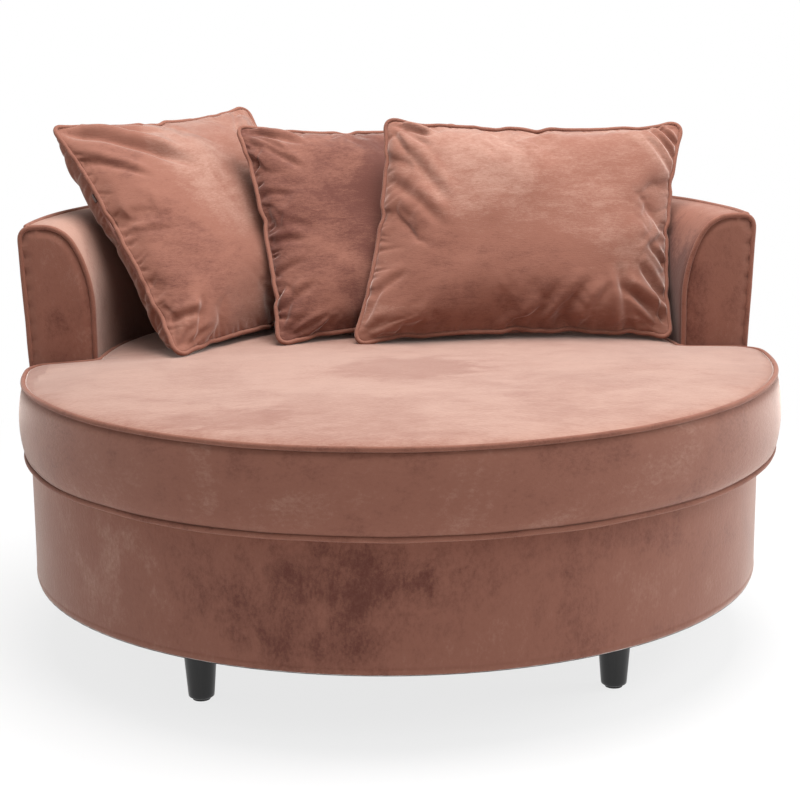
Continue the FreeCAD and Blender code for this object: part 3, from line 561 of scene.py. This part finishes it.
def spinCover(name, profile, material, stands, seed):
    tub = {"thickness": 0.006, "steps": 130, "frontPull": 0.0055, "frontReach": 0.014, "wave": 0.0012}
    inner = []
    for number, (x, z) in enumerate(profile):
        before = profile[max(number - 1, 0)]
        after = profile[min(number + 1, len(profile) - 1)]
        along = Vector((after[0] - before[0], after[1] - before[1])).normalized()
        inner.append((x + along.y * tub["thickness"], z - along.x * tub["thickness"]))
    build = spinProfile(profile + inner[::-1], tub["steps"], angle=math.pi)
    bmesh.ops.translate(build, verts=build.verts, vec=(0, chair["axisY"], 0))
    everything = build.verts[:] + build.edges[:] + build.faces[:]
    bmesh.ops.bisect_plane(build, geom=everything, dist=1e-6, plane_co=(0, chair["armFront"], 0),
                           plane_no=(0, -1, 0), clear_outer=True)
    bmesh.ops.holes_fill(build, edges=[edge for edge in build.edges if edge.is_boundary], sides=0)
    faceOutwards(build)
    build.normal_update()
    for vert in build.verts:
        near = max(0.0, 1 - (vert.co.y - chair["armFront"]) / tub["frontReach"])
        wave = bumpy(vert.co, 4.0, tub["wave"], seed) + bumpy(vert.co, 13.0, tub["wave"] * 0.5, seed)
        pull = tub["frontPull"] * near ** 2
        vert.co += vert.normal * (wave * (1 - near) - pull)
    addPiece(name, meshFrom(build, name), "root", material, stands)


def armProfile(inset):
    # the facing's outline, in the plane of the arm fronts
    inside, roll, outside = tubSection(inset)
    back = chair["armFront"] - chair["axisY"]
    return [(math.sqrt(distance ** 2 - back ** 2), height) for distance, height in inside + roll + outside]


def makeFacing(side, word):
    facing = {"dome": 0.0045, "edge": 0.018, "columns": 24, "rows": 48, "proud": 0.005}
    outline = np.array(armProfile(0.002))
    peak = int(np.argmax(outline[:, 1]))
    top = outline[peak, 1]
    build = bmesh.new()
    bmesh.ops.create_grid(build, x_segments=facing["columns"], y_segments=facing["rows"], size=0.5)
    innerSide = outline[:peak + 1]
    outerSide = outline[peak:][::-1]
    for vert in build.verts:
        across, up = vert.co.x + 0.5, vert.co.y + 0.5
        height = chair["deckHeight"] + 0.001 + (top - chair["deckHeight"] - 0.0012) * math.sin(up * math.pi / 2)
        low = np.interp(height, innerSide[:, 1], innerSide[:, 0])
        high = np.interp(height, outerSide[:, 1], outerSide[:, 0])
        x = low + (high - low) * across
        distances = np.hypot(outline[:, 0] - x, outline[:, 1] - height)
        inwards = min(1.0, float(distances.min()) / facing["edge"])
        rise = facing["dome"] * (1 - (1 - inwards) ** 2.2) - facing["proud"] * (1 - inwards)
        rise += bumpy((x, side, height), 11.0, 0.0012, 4.0 + side) * inwards
        vert.co = Vector((side * x, chair["armFront"] - rise, height))
    bmesh.ops.solidify(build, geom=build.faces[:], thickness=0.004)
    faceOutwards(build)
    name = "armFacing" + word.title()
    addPiece(name, meshFrom(build, name), "root", velvetFacing, ["arm_facing_" + word])


def makeArmPiping(side, word):
    points = resample([Vector((side * x, chair["armFront"], z)) for x, z in armProfile(0.0012)], 0.008)
    points[0].z = points[-1].z = chair["deckHeight"] + 0.0005
    points = [point + Vector((bumpy(point, 25.0, 0.0006), 0, bumpy(point, 25.0, 0.0006, 2.0))) for point in points]
    addCord("armPiping" + word.title(), points, "root", "arm_piping_" + word, wobble=0.04)


def makeTub():
    inside, roll, outside = tubSection()
    half = len(roll) // 2
    spinCover("insideBackCover", inside + roll[:half + 1], velvetInside, ["inside_back_cover"], 1.0)
    outerPath = roll[half:] + [point for point in outside if point[1] > chair["deckHeight"] + 0.01]
    outerPath.append((chair["baseRadius"], chair["deckHeight"] - 0.0006))
    spinCover("outsideBackCover", outerPath, velvetTub, ["outside_back_cover", "back_outer_wadding"], 2.0)
    for side, word in ((-1, "left"), (1, "right")):
        makeFacing(side, word)
        makeArmPiping(side, word)
    # the cord of the back stands on the outer top edge, where it shows over the top from in front
    cord = {"corner": chair["armCorner"], "standOff": 0.0008, "turn": math.radians(66), "steps": 240}
    level = chair["armTop"] - cord["corner"]
    reach = cord["corner"] + cord["standOff"]
    radius = outerWall(level) - cord["corner"] + reach * math.cos(cord["turn"])
    height = level + reach * math.sin(cord["turn"])
    start = math.asin((chair["armFront"] + 0.002 - chair["axisY"]) / radius)
    points = []
    for step in range(cord["steps"] + 1):
        turn = start + (math.pi - 2 * start) * step / cord["steps"]
        point = Vector((radius * math.cos(turn), chair["axisY"] + radius * math.sin(turn), height))
        point.z += bumpy(point, 9.0, 0.0008, 7.0)
        points.append(point)
    addCord("backTopPiping", points, "root", "back_top_piping", wobble=0.04)


makeTub()
print("tub is covered")


# Seat cushion

seat = {
    "radius": 0.633, "rearRadius": 0.507, "bulge": 0.0105, "earBack": 0.06, "earCorner": 0.044, "notch": 0.009,
    "lowSeam": 0.3433, "side": 0.131, "crown": 0.018, "underside": 0.3384, "aside": 0.0095, "droopLeft": 0.009,
    "droopRight": 0.003, "tuck": 0.0045, "underEdge": 0.0035,
}


def seatOutline(inset=0.0, bulge=0.0):
    # plan of the cushion, anticlockwise from the middle of the front
    front = seat["radius"] + bulge - inset
    rear = seat["rearRadius"] - inset
    ear, notch = seat["earCorner"], seat["notch"]
    earBack = seat["earBack"] - inset
    axisY = chair["axisY"]
    earY = earBack - ear
    earX = math.sqrt((front - ear) ** 2 - earY ** 2)
    notchY = earBack + notch - axisY
    notchX = math.sqrt((rear + notch) ** 2 - notchY ** 2)
    counts = {"front": 84, "ear": 8, "back": 8, "notch": 6, "rear": 64}       # points along each stretch
    points = []

    def arc(centre, radius, start, end, count):
        for step in range(count):
            turn = start + (end - start) * step / count
            points.append((centre[0] + radius * math.cos(turn), centre[1] + radius * math.sin(turn)))

    earTurn = math.atan2(earY, earX)
    arc((0, 0), front, -math.pi / 2, earTurn, counts["front"])
    arc((earX, earY), ear, earTurn, math.pi / 2, counts["ear"])
    for step in range(counts["back"]):
        share = step / counts["back"]
        points.append((earX + (notchX - earX) * share, earBack))
    rearTurn = math.atan2(notchY, notchX)
    arc((notchX, earBack + notch), notch, 1.5 * math.pi, math.pi + rearTurn, counts["notch"])
    arc((0, axisY), rear, rearTurn, math.pi / 2, counts["rear"])
    left = [(-x, y) for x, y in points[::-1]]
    return np.array(points + [(0.0, axisY + rear)] + left[:-1])


def easeStep(value, low, high):
    share = min(1.0, max(0.0, (value - low) / (high - low)))
    return share * share * (3 - 2 * share)


def lieSlack(point):
    # the loose cushion lies a little to one side and its ears hang
    share = min(1.0, max(0.0, (point.z - seat["lowSeam"]) / seat["side"]))
    droop = seat["droopLeft"] if point.x < 0 else seat["droopRight"]
    point.z -= droop * share * easeStep(abs(point.x), 0.44, 0.62) * easeStep(point.y, -0.35, 0.0)
    point.x += seat["aside"] * min(1.0, abs(point.x) / 0.64) ** 3 * (1 - easeStep(point.y, 0.03, 0.08))


def seatHeights(distance):
    # how far the crown stands above the seam at a distance from the edge
    roll = 1 - np.exp(-distance / 0.011)
    swell = np.clip(distance / 0.3, 0, 1)
    swell = 1 - (1 - swell) ** 2.2
    return seat["crown"] * (0.4 * roll + 0.6 * swell)


def makeSeat():
    lowSeam, side = seat["lowSeam"], seat["side"]
    topSeam = lowSeam + side
    edge = seatOutline()
    count = len(edge)
    middle = np.array([0.0, -0.03])
    rings = []
    for share in (0.02, 0.3, 0.7, 0.93, 0.975):
        rings.append([(*(middle + (point - middle) * share), seat["underside"]) for point in edge])
    rings.append([(x, y, lowSeam - seat["underEdge"]) for x, y in seatOutline(seat["underEdge"])])
    for step in range(17):
        share = step / 16
        tuck = seat["tuck"] * (math.exp(-share * 30) + math.exp(-(1 - share) * 30))
        swell = seat["bulge"] * math.sin(math.pi * share) ** 0.62
        height = lowSeam + side * share
        rings.append([(x, y, height) for x, y in seatOutline(tuck, swell)])
    for inset in (0.0035, 0.007, 0.011, 0.017, 0.026, 0.038, 0.055, 0.075, 0.1, 0.13, 0.165, 0.205, 0.25, 0.3,
                  0.35, 0.4, 0.45, 0.5, 0.55, 0.6, 0.622):
        ring = middle + (edge - middle) * (1 - inset / seat["radius"])
        gaps = np.linalg.norm(ring[:, None, :] - edge[None, :, :], axis=2).min(axis=1)
        rings.append([(x, y, z) for (x, y), z in zip(ring, topSeam + seatHeights(gaps))])
    build = bmesh.new()
    bmesh.ops.create_grid(build, x_segments=count, y_segments=len(rings) - 1, size=0.5)
    for vert in build.verts:
        column = round((vert.co.x + 0.5) * count) % count
        row = round((vert.co.y + 0.5) * (len(rings) - 1))
        vert.co = rings[row][column]
    bmesh.ops.remove_doubles(build, verts=build.verts, dist=1e-7)
    capped = bmesh.ops.holes_fill(build, edges=[edge for edge in build.edges if edge.is_boundary], sides=0)
    bmesh.ops.poke(build, faces=capped["faces"])
    faceOutwards(build)
    build.normal_update()
    for vert in build.verts:
        if vert.co.z > lowSeam - 0.002:
            onTop = vert.co.z > topSeam - 0.001
            gap = float(np.linalg.norm(edge - np.array([vert.co.x, vert.co.y]), axis=1).min()) if onTop else 0.02
            soft = bumpy(vert.co, 3.5, 0.0016) + bumpy(vert.co, 9.0, 0.0008, 2.0)
            pucker = bumpy((vert.co.x, vert.co.y, 0), 26.0, 0.0016, 9.0) * math.exp(-gap / 0.03) if onTop else 0
            band = 0.0
            if not onTop:
                share = (vert.co.z - lowSeam) / side
                band = bumpy(vert.co, 7.0, 0.0015, 5.0) * math.sin(math.pi * min(1, max(0, share))) ** 0.5
                if vert.co.y > 0.05:
                    band = min(band, 0)
            vert.co += vert.normal * ((soft + pucker) * min(1, gap / 0.012) + band)
        elif vert.co.z < lowSeam - 0.004:
            vert.co.z = max(vert.co.z, seat["underside"])
        lieSlack(vert.co)
    piece = addPiece("seatCushion", meshFrom(build, "seatCushion"), "seat_cushion", velvetSeat,
                     ["seat_top_panel", "seat_boxing", "seat_under_panel", "seat_foam"], 0)
    piece.data.materials.append(velvetBand)
    for face in piece.data.polygons:
        if face.center.z < topSeam and lowSeam - 0.003 < face.center.z:
            face.material_index = 1
    return piece


def makeSeatPiping(name, height, node, dip, seed):
    edge = seatOutline(-0.0002)
    points = resample([Vector((x, y, height)) for x, y in list(edge) + [edge[0]]], 0.008)[:-1]
    for point in points:
        front = 1.0 if point.y < 0.05 else 0.3
        point.z += (bumpy(point, 6.0, dip, seed) + bumpy(point, 15.0, dip * 0.4, seed)) * front
    points = [Vector(point) for point in smoothLoop(points, 2)]
    for point in points:
        lieSlack(point)
    addCord(name, points, "seat_cushion", node, closed=True)


seatPiece = makeSeat()
makeSeatPiping("seatPipingTop", seat["lowSeam"] + seat["side"] + 0.001, "seat_piping_top", 0.0008, 1.0)
makeSeatPiping("seatPipingBottom", seat["lowSeam"] + 0.0012, "seat_piping_bottom", 0.0024, 4.0)
print("seat cushion is made")


# Loose pillows: each lies in its own leaning plane, x along its width, y up its height, z out of its face

# each pillow's marks are x, y, reach and how much paler: painted light where a face turns to the light, painted shade
# where it turns away or lies beside a neighbour; tone is painted too, deepest on the middle pillow, which sits in the
# others' shade
pillows = {
    "pillow_left": {
        "foot": (-0.3706, -0.0172, 0.4962), "yaw": 47.8, "lean": 41.4,
        "tips": ((0.006, 0.0), (0.5, 0.006), (0.53, 0.488), (0.037, 0.483)),
        "front": 0.066, "back": 0.08, "backFullness": 0.45, "seed": 1, "gather": (0.6, 0.7, 0.7, 1.3),
        "plainEars": (3,), "tone": 0.03,
        "marks": ((0.1, 0.32, 0.12, -0.09), (0.11, 0.15, 0.14, -0.11), (0.36, 0.36, 0.24, 0.1),
                  (0.3, 0.08, 0.11, 0.05)),
        "folds": (((0.045, 0.478), (0.215, 0.345), 0.013, 0.013), ((0.08, 0.478), (0.225, 0.425), 0.008, 0.005),
                  ((0.05, 0.4), (0.12, 0.33), 0.007, 0.0045), ((0.02, 0.06), (0.075, 0.05), 0.007, 0.005),
                  ((0.055, 0.015), (0.085, 0.07), 0.007, 0.0055), ((0.04, 0.24), (0.11, 0.215), 0.007, 0.0025),
                  ((0.48, 0.47), (0.42, 0.41), 0.008, 0.0055)),
    },
    "pillow_middle": {
        "foot": (-0.1996, 0.0618, 0.4954), "yaw": 22.1, "lean": 38.0,
        "tips": ((0.005, 0.002), (0.455, 0.002), (0.485, 0.425), (0.045, 0.445)),
        "front": 0.056, "back": 0.062, "backFullness": 0.7, "seed": 2, "gather": (0.9, 0.8, 1.0, 1.9),
        "plainEars": (), "tone": -0.26,
        "marks": ((0.1, 0.11, 0.11, 0.14), (0.34, 0.16, 0.24, -0.08), (0.18, 0.4, 0.14, 0.08)),
        "folds": (((0.06, 0.43), (0.14, 0.385), 0.008, 0.006), ((0.06, 0.4), (0.12, 0.33), 0.007, 0.0045),
                  ((0.03, 0.2), (0.09, 0.18), 0.008, 0.0028), ((0.02, 0.06), (0.08, 0.09), 0.008, 0.004),
                  ((0.035, 0.3), (0.09, 0.275), 0.007, 0.0026), ((0.025, 0.13), (0.08, 0.14), 0.007, 0.0026)),
    },
    "pillow_right": {
        "foot": (-0.0605, 0.0651, 0.4964), "yaw": 2.1, "lean": 29.1,
        "tips": ((-0.002, 0.0), (0.55, -0.003), (0.61, 0.398), (0.076, 0.415)),
        "front": 0.068, "back": 0.052, "backFullness": 0.8, "seed": 3, "gather": (0.8, 0.9, 0.7, 0.8),
        "plainEars": (2,), "tone": 0.04,
        "marks": ((0.36, 0.35, 0.28, 0.1), (0.24, 0.05, 0.22, -0.1), (0.09, 0.14, 0.12, -0.08)),
        "folds": (((0.09, 0.365), (0.16, 0.245), 0.01, 0.0048), ((0.07, 0.3), (0.15, 0.195), 0.01, 0.0044),
                  ((0.1, 0.395), (0.145, 0.375), 0.006, 0.0045), ((0.562, 0.396), (0.603, 0.352), 0.0045, 0.0065),
                  ((0.548, 0.384), (0.6, 0.322), 0.005, 0.005), ((0.53, 0.372), (0.592, 0.29), 0.007, 0.003),
                  ((0.476, 0.004), (0.462, 0.1), 0.009, 0.006),
                  ((0.468, 0.07), (0.548, 0.022), 0.009, 0.009), ((0.5, 0.11), (0.552, 0.05), 0.008, 0.0065),
                  ((0.525, 0.15), (0.56, 0.12), 0.007, 0.005), ((0.3, 0.012), (0.345, 0.07), 0.009, 0.004),
                  ((0.345, 0.012), (0.4, 0.078), 0.009, 0.0045), ((0.4, 0.012), (0.44, 0.07), 0.008, 0.004),
                  ((0.03, 0.08), (0.085, 0.11), 0.008, 0.004)),
    },
}
cloth = {
    "cells": 54, "halvings": 2, "tip": 0.017, "dome": 0.02, "frames": 13, "drawIn": 0.0162,
    "air": {"quality": 7, "mass": 0.3, "tension_stiffness": 50.0, "compression_stiffness": 35.0,
            "shear_stiffness": 5.0, "bending_stiffness": 0.08, "use_pressure": True, "uniform_pressure_force": 10.0},
}
surface = {"fullness": 0.8, "sag": 0.16, "pinch": 0.35, "pinchReach": 0.055, "rimWave": 0.003}
pucker = {"spacing": 0.017, "reach": 0.036, "width": 0.004, "deep": 0.0027}


def roundedSides(tips, radius, drawIn, cells):
    # the four sides of a cover, each from the middle of one round corner to the next
    tips = [Vector(tip) for tip in tips]
    corners = []
    for number, here in enumerate(tips):
        ahead = (tips[(number + 1) % 4] - here).normalized()
        back = (tips[number - 1] - here).normalized()
        wide = abs(ahead.x * back.y - ahead.y * back.x)
        halfTurn = (math.pi - math.acos(ahead.dot(back))) / 2
        corners.append((here + (ahead + back) * (radius / wide), -(ahead + back).normalized(), halfTurn))
    sides = []
    for number, (centre, outwards, halfTurn) in enumerate(corners):
        nextCentre, nextOutwards, nextHalf = corners[(number + 1) % 4]
        path = [centre + Matrix.Rotation(halfTurn * step / 10, 2) @ outwards * radius for step in range(11)]
        path += [nextCentre + Matrix.Rotation(-nextHalf * step / 10, 2) @ nextOutwards * radius
                 for step in range(10, -1, -1)]
        places = np.array([tuple(point) for point in path])
        lengths = np.concatenate([[0], np.cumsum(np.hypot(*np.diff(places, axis=0).T))])
        wanted = np.linspace(0, lengths[-1], cells + 1)
        side = np.stack([np.interp(wanted, lengths, places[:, axis]) for axis in range(2)], axis=1)
        inwards = (tips[(number + 1) % 4] - tips[number]).normalized()
        inwards = np.array((-inwards.y, inwards.x))
        bow = 4 * (wanted / lengths[-1]) * (1 - wanted / lengths[-1])
        sides.append(side + inwards * (drawIn * bow)[:, None])
    return sides


def fillBetween(sides, across, up):
    # a surface patch stretched between four sides
    bottom, right, top, left = sides[0], sides[1], sides[2][::-1], sides[3][::-1]
    column = np.rint(across * (len(bottom) - 1)).astype(int)
    row = np.rint(up * (len(left) - 1)).astype(int)
    across, up = across[:, None], up[:, None]
    ruled = (1 - up) * bottom[column] + up * top[column] + (1 - across) * left[row] + across * right[row]
    corners = (1 - across) * (1 - up) * bottom[0] + across * (1 - up) * bottom[-1]
    return ruled - corners - (1 - across) * up * top[0] - across * up * top[-1]


def sewnCover(name, plan):
    # two flat panels joined round the rim, a little open in the middle so that the air pushes outwards
    cells = cloth["cells"]
    sides = roundedSides(plan["tips"], cloth["tip"], -0.006, cells)
    build = bmesh.new()
    across = build.verts.layers.float.new("across")
    up = build.verts.layers.float.new("up")
    for face in (1, -1):
        verts = bmesh.ops.create_grid(build, x_segments=cells, y_segments=cells, size=0.5)["verts"]
        shares = np.array([(vert.co.x + 0.5, vert.co.y + 0.5) for vert in verts])
        flat = fillBetween(sides, shares[:, 0], shares[:, 1])
        for vert, share, place in zip(verts, shares, flat):
            hump = math.sqrt(max(0.0, 16 * share[0] * (1 - share[0]) * share[1] * (1 - share[1])))
            vert[across], vert[up] = share
            vert.co = (place[0], place[1], face * cloth["dome"] * hump)
        if face < 0:
            faces = list({linked for vert in verts for linked in vert.link_faces})
            bmesh.ops.reverse_faces(build, faces=faces)
    bmesh.ops.remove_doubles(build, verts=build.verts, dist=1e-6)
    return meshFrom(build, name)


def inflate(mesh):
    piece = bpy.data.objects.new("inflating", mesh)
    scene.collection.objects.link(piece)
    air = piece.modifiers.new("air", "CLOTH")
    for name, value in cloth["air"].items():
        setattr(air.settings, name, value)
    air.settings.effector_weights.gravity = 0
    air.collision_settings.use_collision = False
    finer = piece.modifiers.new("finer", "SUBSURF")
    finer.levels = finer.render_levels = cloth["halvings"]
    for step in range(1, cloth["frames"] + 1):
        scene.frame_set(step)
    shown = piece.evaluated_get(bpy.context.evaluated_depsgraph_get())
    blown = bpy.data.meshes.new_from_object(shown)
    bpy.data.objects.remove(piece)
    scene.frame_set(1)
    return blown


def readValues(collection, name, width):
    values = np.zeros(len(collection) * width)
    collection.foreach_get(name, values)
    return values.reshape(-1, width)


def rimOrder(across, up):
    # numbers of the vertices round the rim, in order
    cells = cloth["cells"] * 2 ** cloth["halvings"]
    rim = {}
    for number in np.nonzero((across < 1e-6) | (across > 1 - 1e-6) | (up < 1e-6) | (up > 1 - 1e-6))[0]:
        rim[(int(round(across[number] * cells)), int(round(up[number] * cells)))] = int(number)
    keys = [(step, 0) for step in range(cells)] + [(cells, step) for step in range(cells)]
    keys += [(step, cells) for step in range(cells, 0, -1)] + [(0, step) for step in range(cells, 0, -1)]
    return [rim[key] for key in keys]


def easeToPlan(places, across, up, plan):
    # moves the rim back on to the pillow's plan and keeps its small puckers; the panels follow smoothly
    cells = cloth["cells"] * 2 ** cloth["halvings"]
    order = rimOrder(across, up)
    wanted = np.concatenate([side[:-1] for side in roundedSides(plan["tips"], cloth["tip"], cloth["drawIn"], cells)])
    steady = smoothLoop(places[order], 60)

    def spreadInwards(rim):
        closed = np.concatenate([rim, rim[:1]])
        return fillBetween([closed[number * cells:(number + 1) * cells + 1] for number in range(4)], across, up)

    places[:, :2] += spreadInwards(smoothLoop(wanted - steady[:, :2], 8))
    places[:, 2] -= spreadInwards(steady[:, 2:])[:, 0]
    return order


def shapePillow(name, plan):
    mesh = inflate(sewnCover(name, plan))
    places = readValues(mesh.vertices, "co", 3)
    across, up = (readValues(mesh.attributes[layer].data, "value", 1)[:, 0] for layer in ("across", "up"))
    order = easeToPlan(places, across, up, plan)
    height = places[:, 2]
    tips = np.array(plan["tips"])
    corner = np.linalg.norm(places[:, None, :2] - tips[None, :, :], axis=2).min(axis=1)
    pinched = 1 - surface["pinch"] * np.exp(-(corner / surface["pinchReach"]) ** 2)
    settled = 1 + surface["sag"] * (0.5 - up)          # the filling sinks a little
    for side, deep, fullness in ((1, plan["front"], surface["fullness"]), (-1, plan["back"], plan["backFullness"])):
        facing = height * side > 0
        full = (height[facing] * side / (height * side).max()) ** fullness
        height[facing] = side * deep * full * pinched[facing] * settled[facing]
    gap = np.minimum(np.minimum(across, 1 - across), np.minimum(up, 1 - up))
    for number, (x, y, z) in enumerate(places):
        depth = min(1.0, abs(z) / 0.02)
        wave = bumpy((x, y, 0), 11.0, surface["rimWave"], plan["seed"] + 0.5) * math.exp(-gap[number] / 0.06)
        places[number, 2] += wave + depth * (bumpy((x, y, z * 2), 6.0, 0.005, plan["seed"])
                                             + bumpy((x, y, z * 2), 16.0, 0.0022, plan["seed"]))
    mesh.vertices.foreach_set("co", places.ravel())
    mesh.update()
    outwards = readValues(mesh.vertices, "normal", 3)
    lift = seamPuckers(places, across, up, plan)
    for side, folds in ((1, plan["folds"]), (1, earFolds(plan, 1)), (-1, earFolds(plan, 2))):
        for fold in folds:
            lift += pressFold(places, side, *fold)
    places += outwards * lift[:, None]
    return mesh, places, order


def seamPuckers(places, across, up, plan):
    # the panels are gathered on to the cord, so small valleys run in from the seam
    chance = np.random.default_rng(plan["seed"])
    tips = np.array(plan["tips"])
    lengths = [float(np.linalg.norm(tips[(number + 1) % 4] - tips[number])) for number in range(4)]
    wide, tall = (lengths[0] + lengths[2]) / 2, (lengths[1] + lengths[3]) / 2
    sides = ((across, up * tall), (up, (1 - across) * wide), (across, (1 - up) * tall), (up, across * wide))
    lift = np.zeros(len(places))
    for face in (1, -1):
        facing = np.clip(places[:, 2] * face / 0.006, 0, 1)
        for length, gather, (share, inwards) in zip(lengths, plan["gather"], sides):
            count = int(length / pucker["spacing"])
            for step in range(count):
                place = (step + chance.uniform(0.1, 0.9)) / count
                reach = pucker["reach"] * chance.lognormal(0.0, 0.45)
                width = pucker["width"] * chance.uniform(0.7, 1.5)
                slant = chance.normal(0.0, 0.25) - 0.8 * (place - 0.5)
                deep = pucker["deep"] * gather * chance.uniform(0.4, 1.5)
                aside = (share - place) * length - slant * inwards
                near = np.nonzero((inwards < reach) & (np.abs(aside) < 3 * width) & (facing > 0))[0]
                fade = (1 - inwards[near] / reach) ** 1.3
                lift[near] -= deep * np.exp(-(aside[near] / width) ** 2) * fade * facing[near]
    return lift


def earFolds(plan, turn):
    # a few creases run out of each corner towards the middle
    chance = np.random.default_rng(plan["seed"] * 10 + turn)
    tips = np.array(plan["tips"])
    middle = tips.mean(axis=0)
    folds = []
    for number, tip in enumerate(tips):
        if number in plan["plainEars"]:
            continue
        inwards = (middle - tip) / np.linalg.norm(middle - tip)
        for spread in (-0.45, -0.05, 0.38):
            bend = spread + chance.normal(0.0, 0.08)
            way = np.array((inwards[0] * math.cos(bend) - inwards[1] * math.sin(bend),
                            inwards[0] * math.sin(bend) + inwards[1] * math.cos(bend)))
            start = tip + way * chance.uniform(0.016, 0.03)
            folds.append((start, start + way * chance.uniform(0.035, 0.08), chance.uniform(0.0045, 0.007),
                          chance.uniform(0.0025, 0.0045)))
    return folds


def pressFold(places, side, start, end, width, deep):
    # how far a crease presses one face in, with a ridge beside it
    start, end = np.array(start), np.array(end)
    length = np.linalg.norm(end - start)
    along = (end - start) / length
    across = np.array((-along[1], along[0]))
    offset = places[:, :2] - start
    travel = offset @ along / length
    aside = offset @ across
    taper = np.clip(np.minimum(travel + 0.15, 1.15 - travel) * 3, 0, 1)
    valley = -np.exp(-(aside / width) ** 2)
    ridge = 0.7 * np.exp(-((aside - 1.9 * width) / (1.2 * width)) ** 2)
    return deep * (valley + ridge) * taper * np.clip(places[:, 2] * side / 0.008, 0, 1)


def leaningPlace(plan):
    turned = Matrix.Rotation(math.radians(plan["yaw"]), 4, "Z")
    tipped = Matrix.Rotation(math.radians(90 - plan["lean"]), 4, "X")
    return Matrix.Translation(plan["foot"]) @ turned @ tipped


def surfaceOf(*pieces):
    graph = bpy.context.evaluated_depsgraph_get()
    return [BVHTree.FromObject(piece, graph) for piece in pieces]


def restAgainst(places, trees, margin, reach=0.05):
    # moves every point that lies inside a neighbour out to its surface
    for number, place in enumerate(places):
        point = Vector(place)
        for tree in trees:
            hit, normal, _, _ = tree.find_nearest(point, reach)
            if hit is not None and (point - hit).dot(normal) < margin:
                point = hit + normal * margin
        places[number] = point


def makePillow(label, plan, behind):
    name = "pillow" + label.split("_")[1].title()
    cord = {"radius": 0.0041, "standOff": 0.0026, "spacing": 0.006}
    mesh, places, order = shapePillow(name, plan)
    lying = leaningPlace(plan)
    # the pillow's painted light and shade, placed on its leaning plane
    marks = [(lying @ Vector((x, y, 0.05)), (reach,) * 3, amount, 0.2) for x, y, reach, amount in plan["marks"]]
    cover = velvet(name + "Velvet", 6.0, 0.12, (1.0, 1.0, 4.0), plan["tone"], 0.85, marks)
    place = np.array(lying)
    places = places @ place[:3, :3].T + place[:3, 3]
    restAgainst(places, behind, 0.0008)
    mesh.vertices.foreach_set("co", places.ravel())
    mesh.update()
    piece = addPiece(name, mesh, label, cover,
                     [label + "_front_panel", label + "_back_panel", label + "_filling"], 0)
    rim = smoothLoop(places[order], 3)
    outwards = rim - rim.mean(axis=0)
    rim = rim + outwards / np.linalg.norm(outwards, axis=1)[:, None] * cord["standOff"]
    rim = resample([Vector(point) for point in np.concatenate([rim, rim[:1]])], cord["spacing"])[:-1]
    addCord(name + "Piping", rim, label, label + "_piping", cord["radius"], closed=True)
    return piece


behindPieces = [seatPiece, bpy.data.objects["insideBackCover"]]
for label, plan in pillows.items():
    piece = makePillow(label, plan, surfaceOf(*behindPieces))
    behindPieces.append(piece)
    print(label, "is sewn and filled")
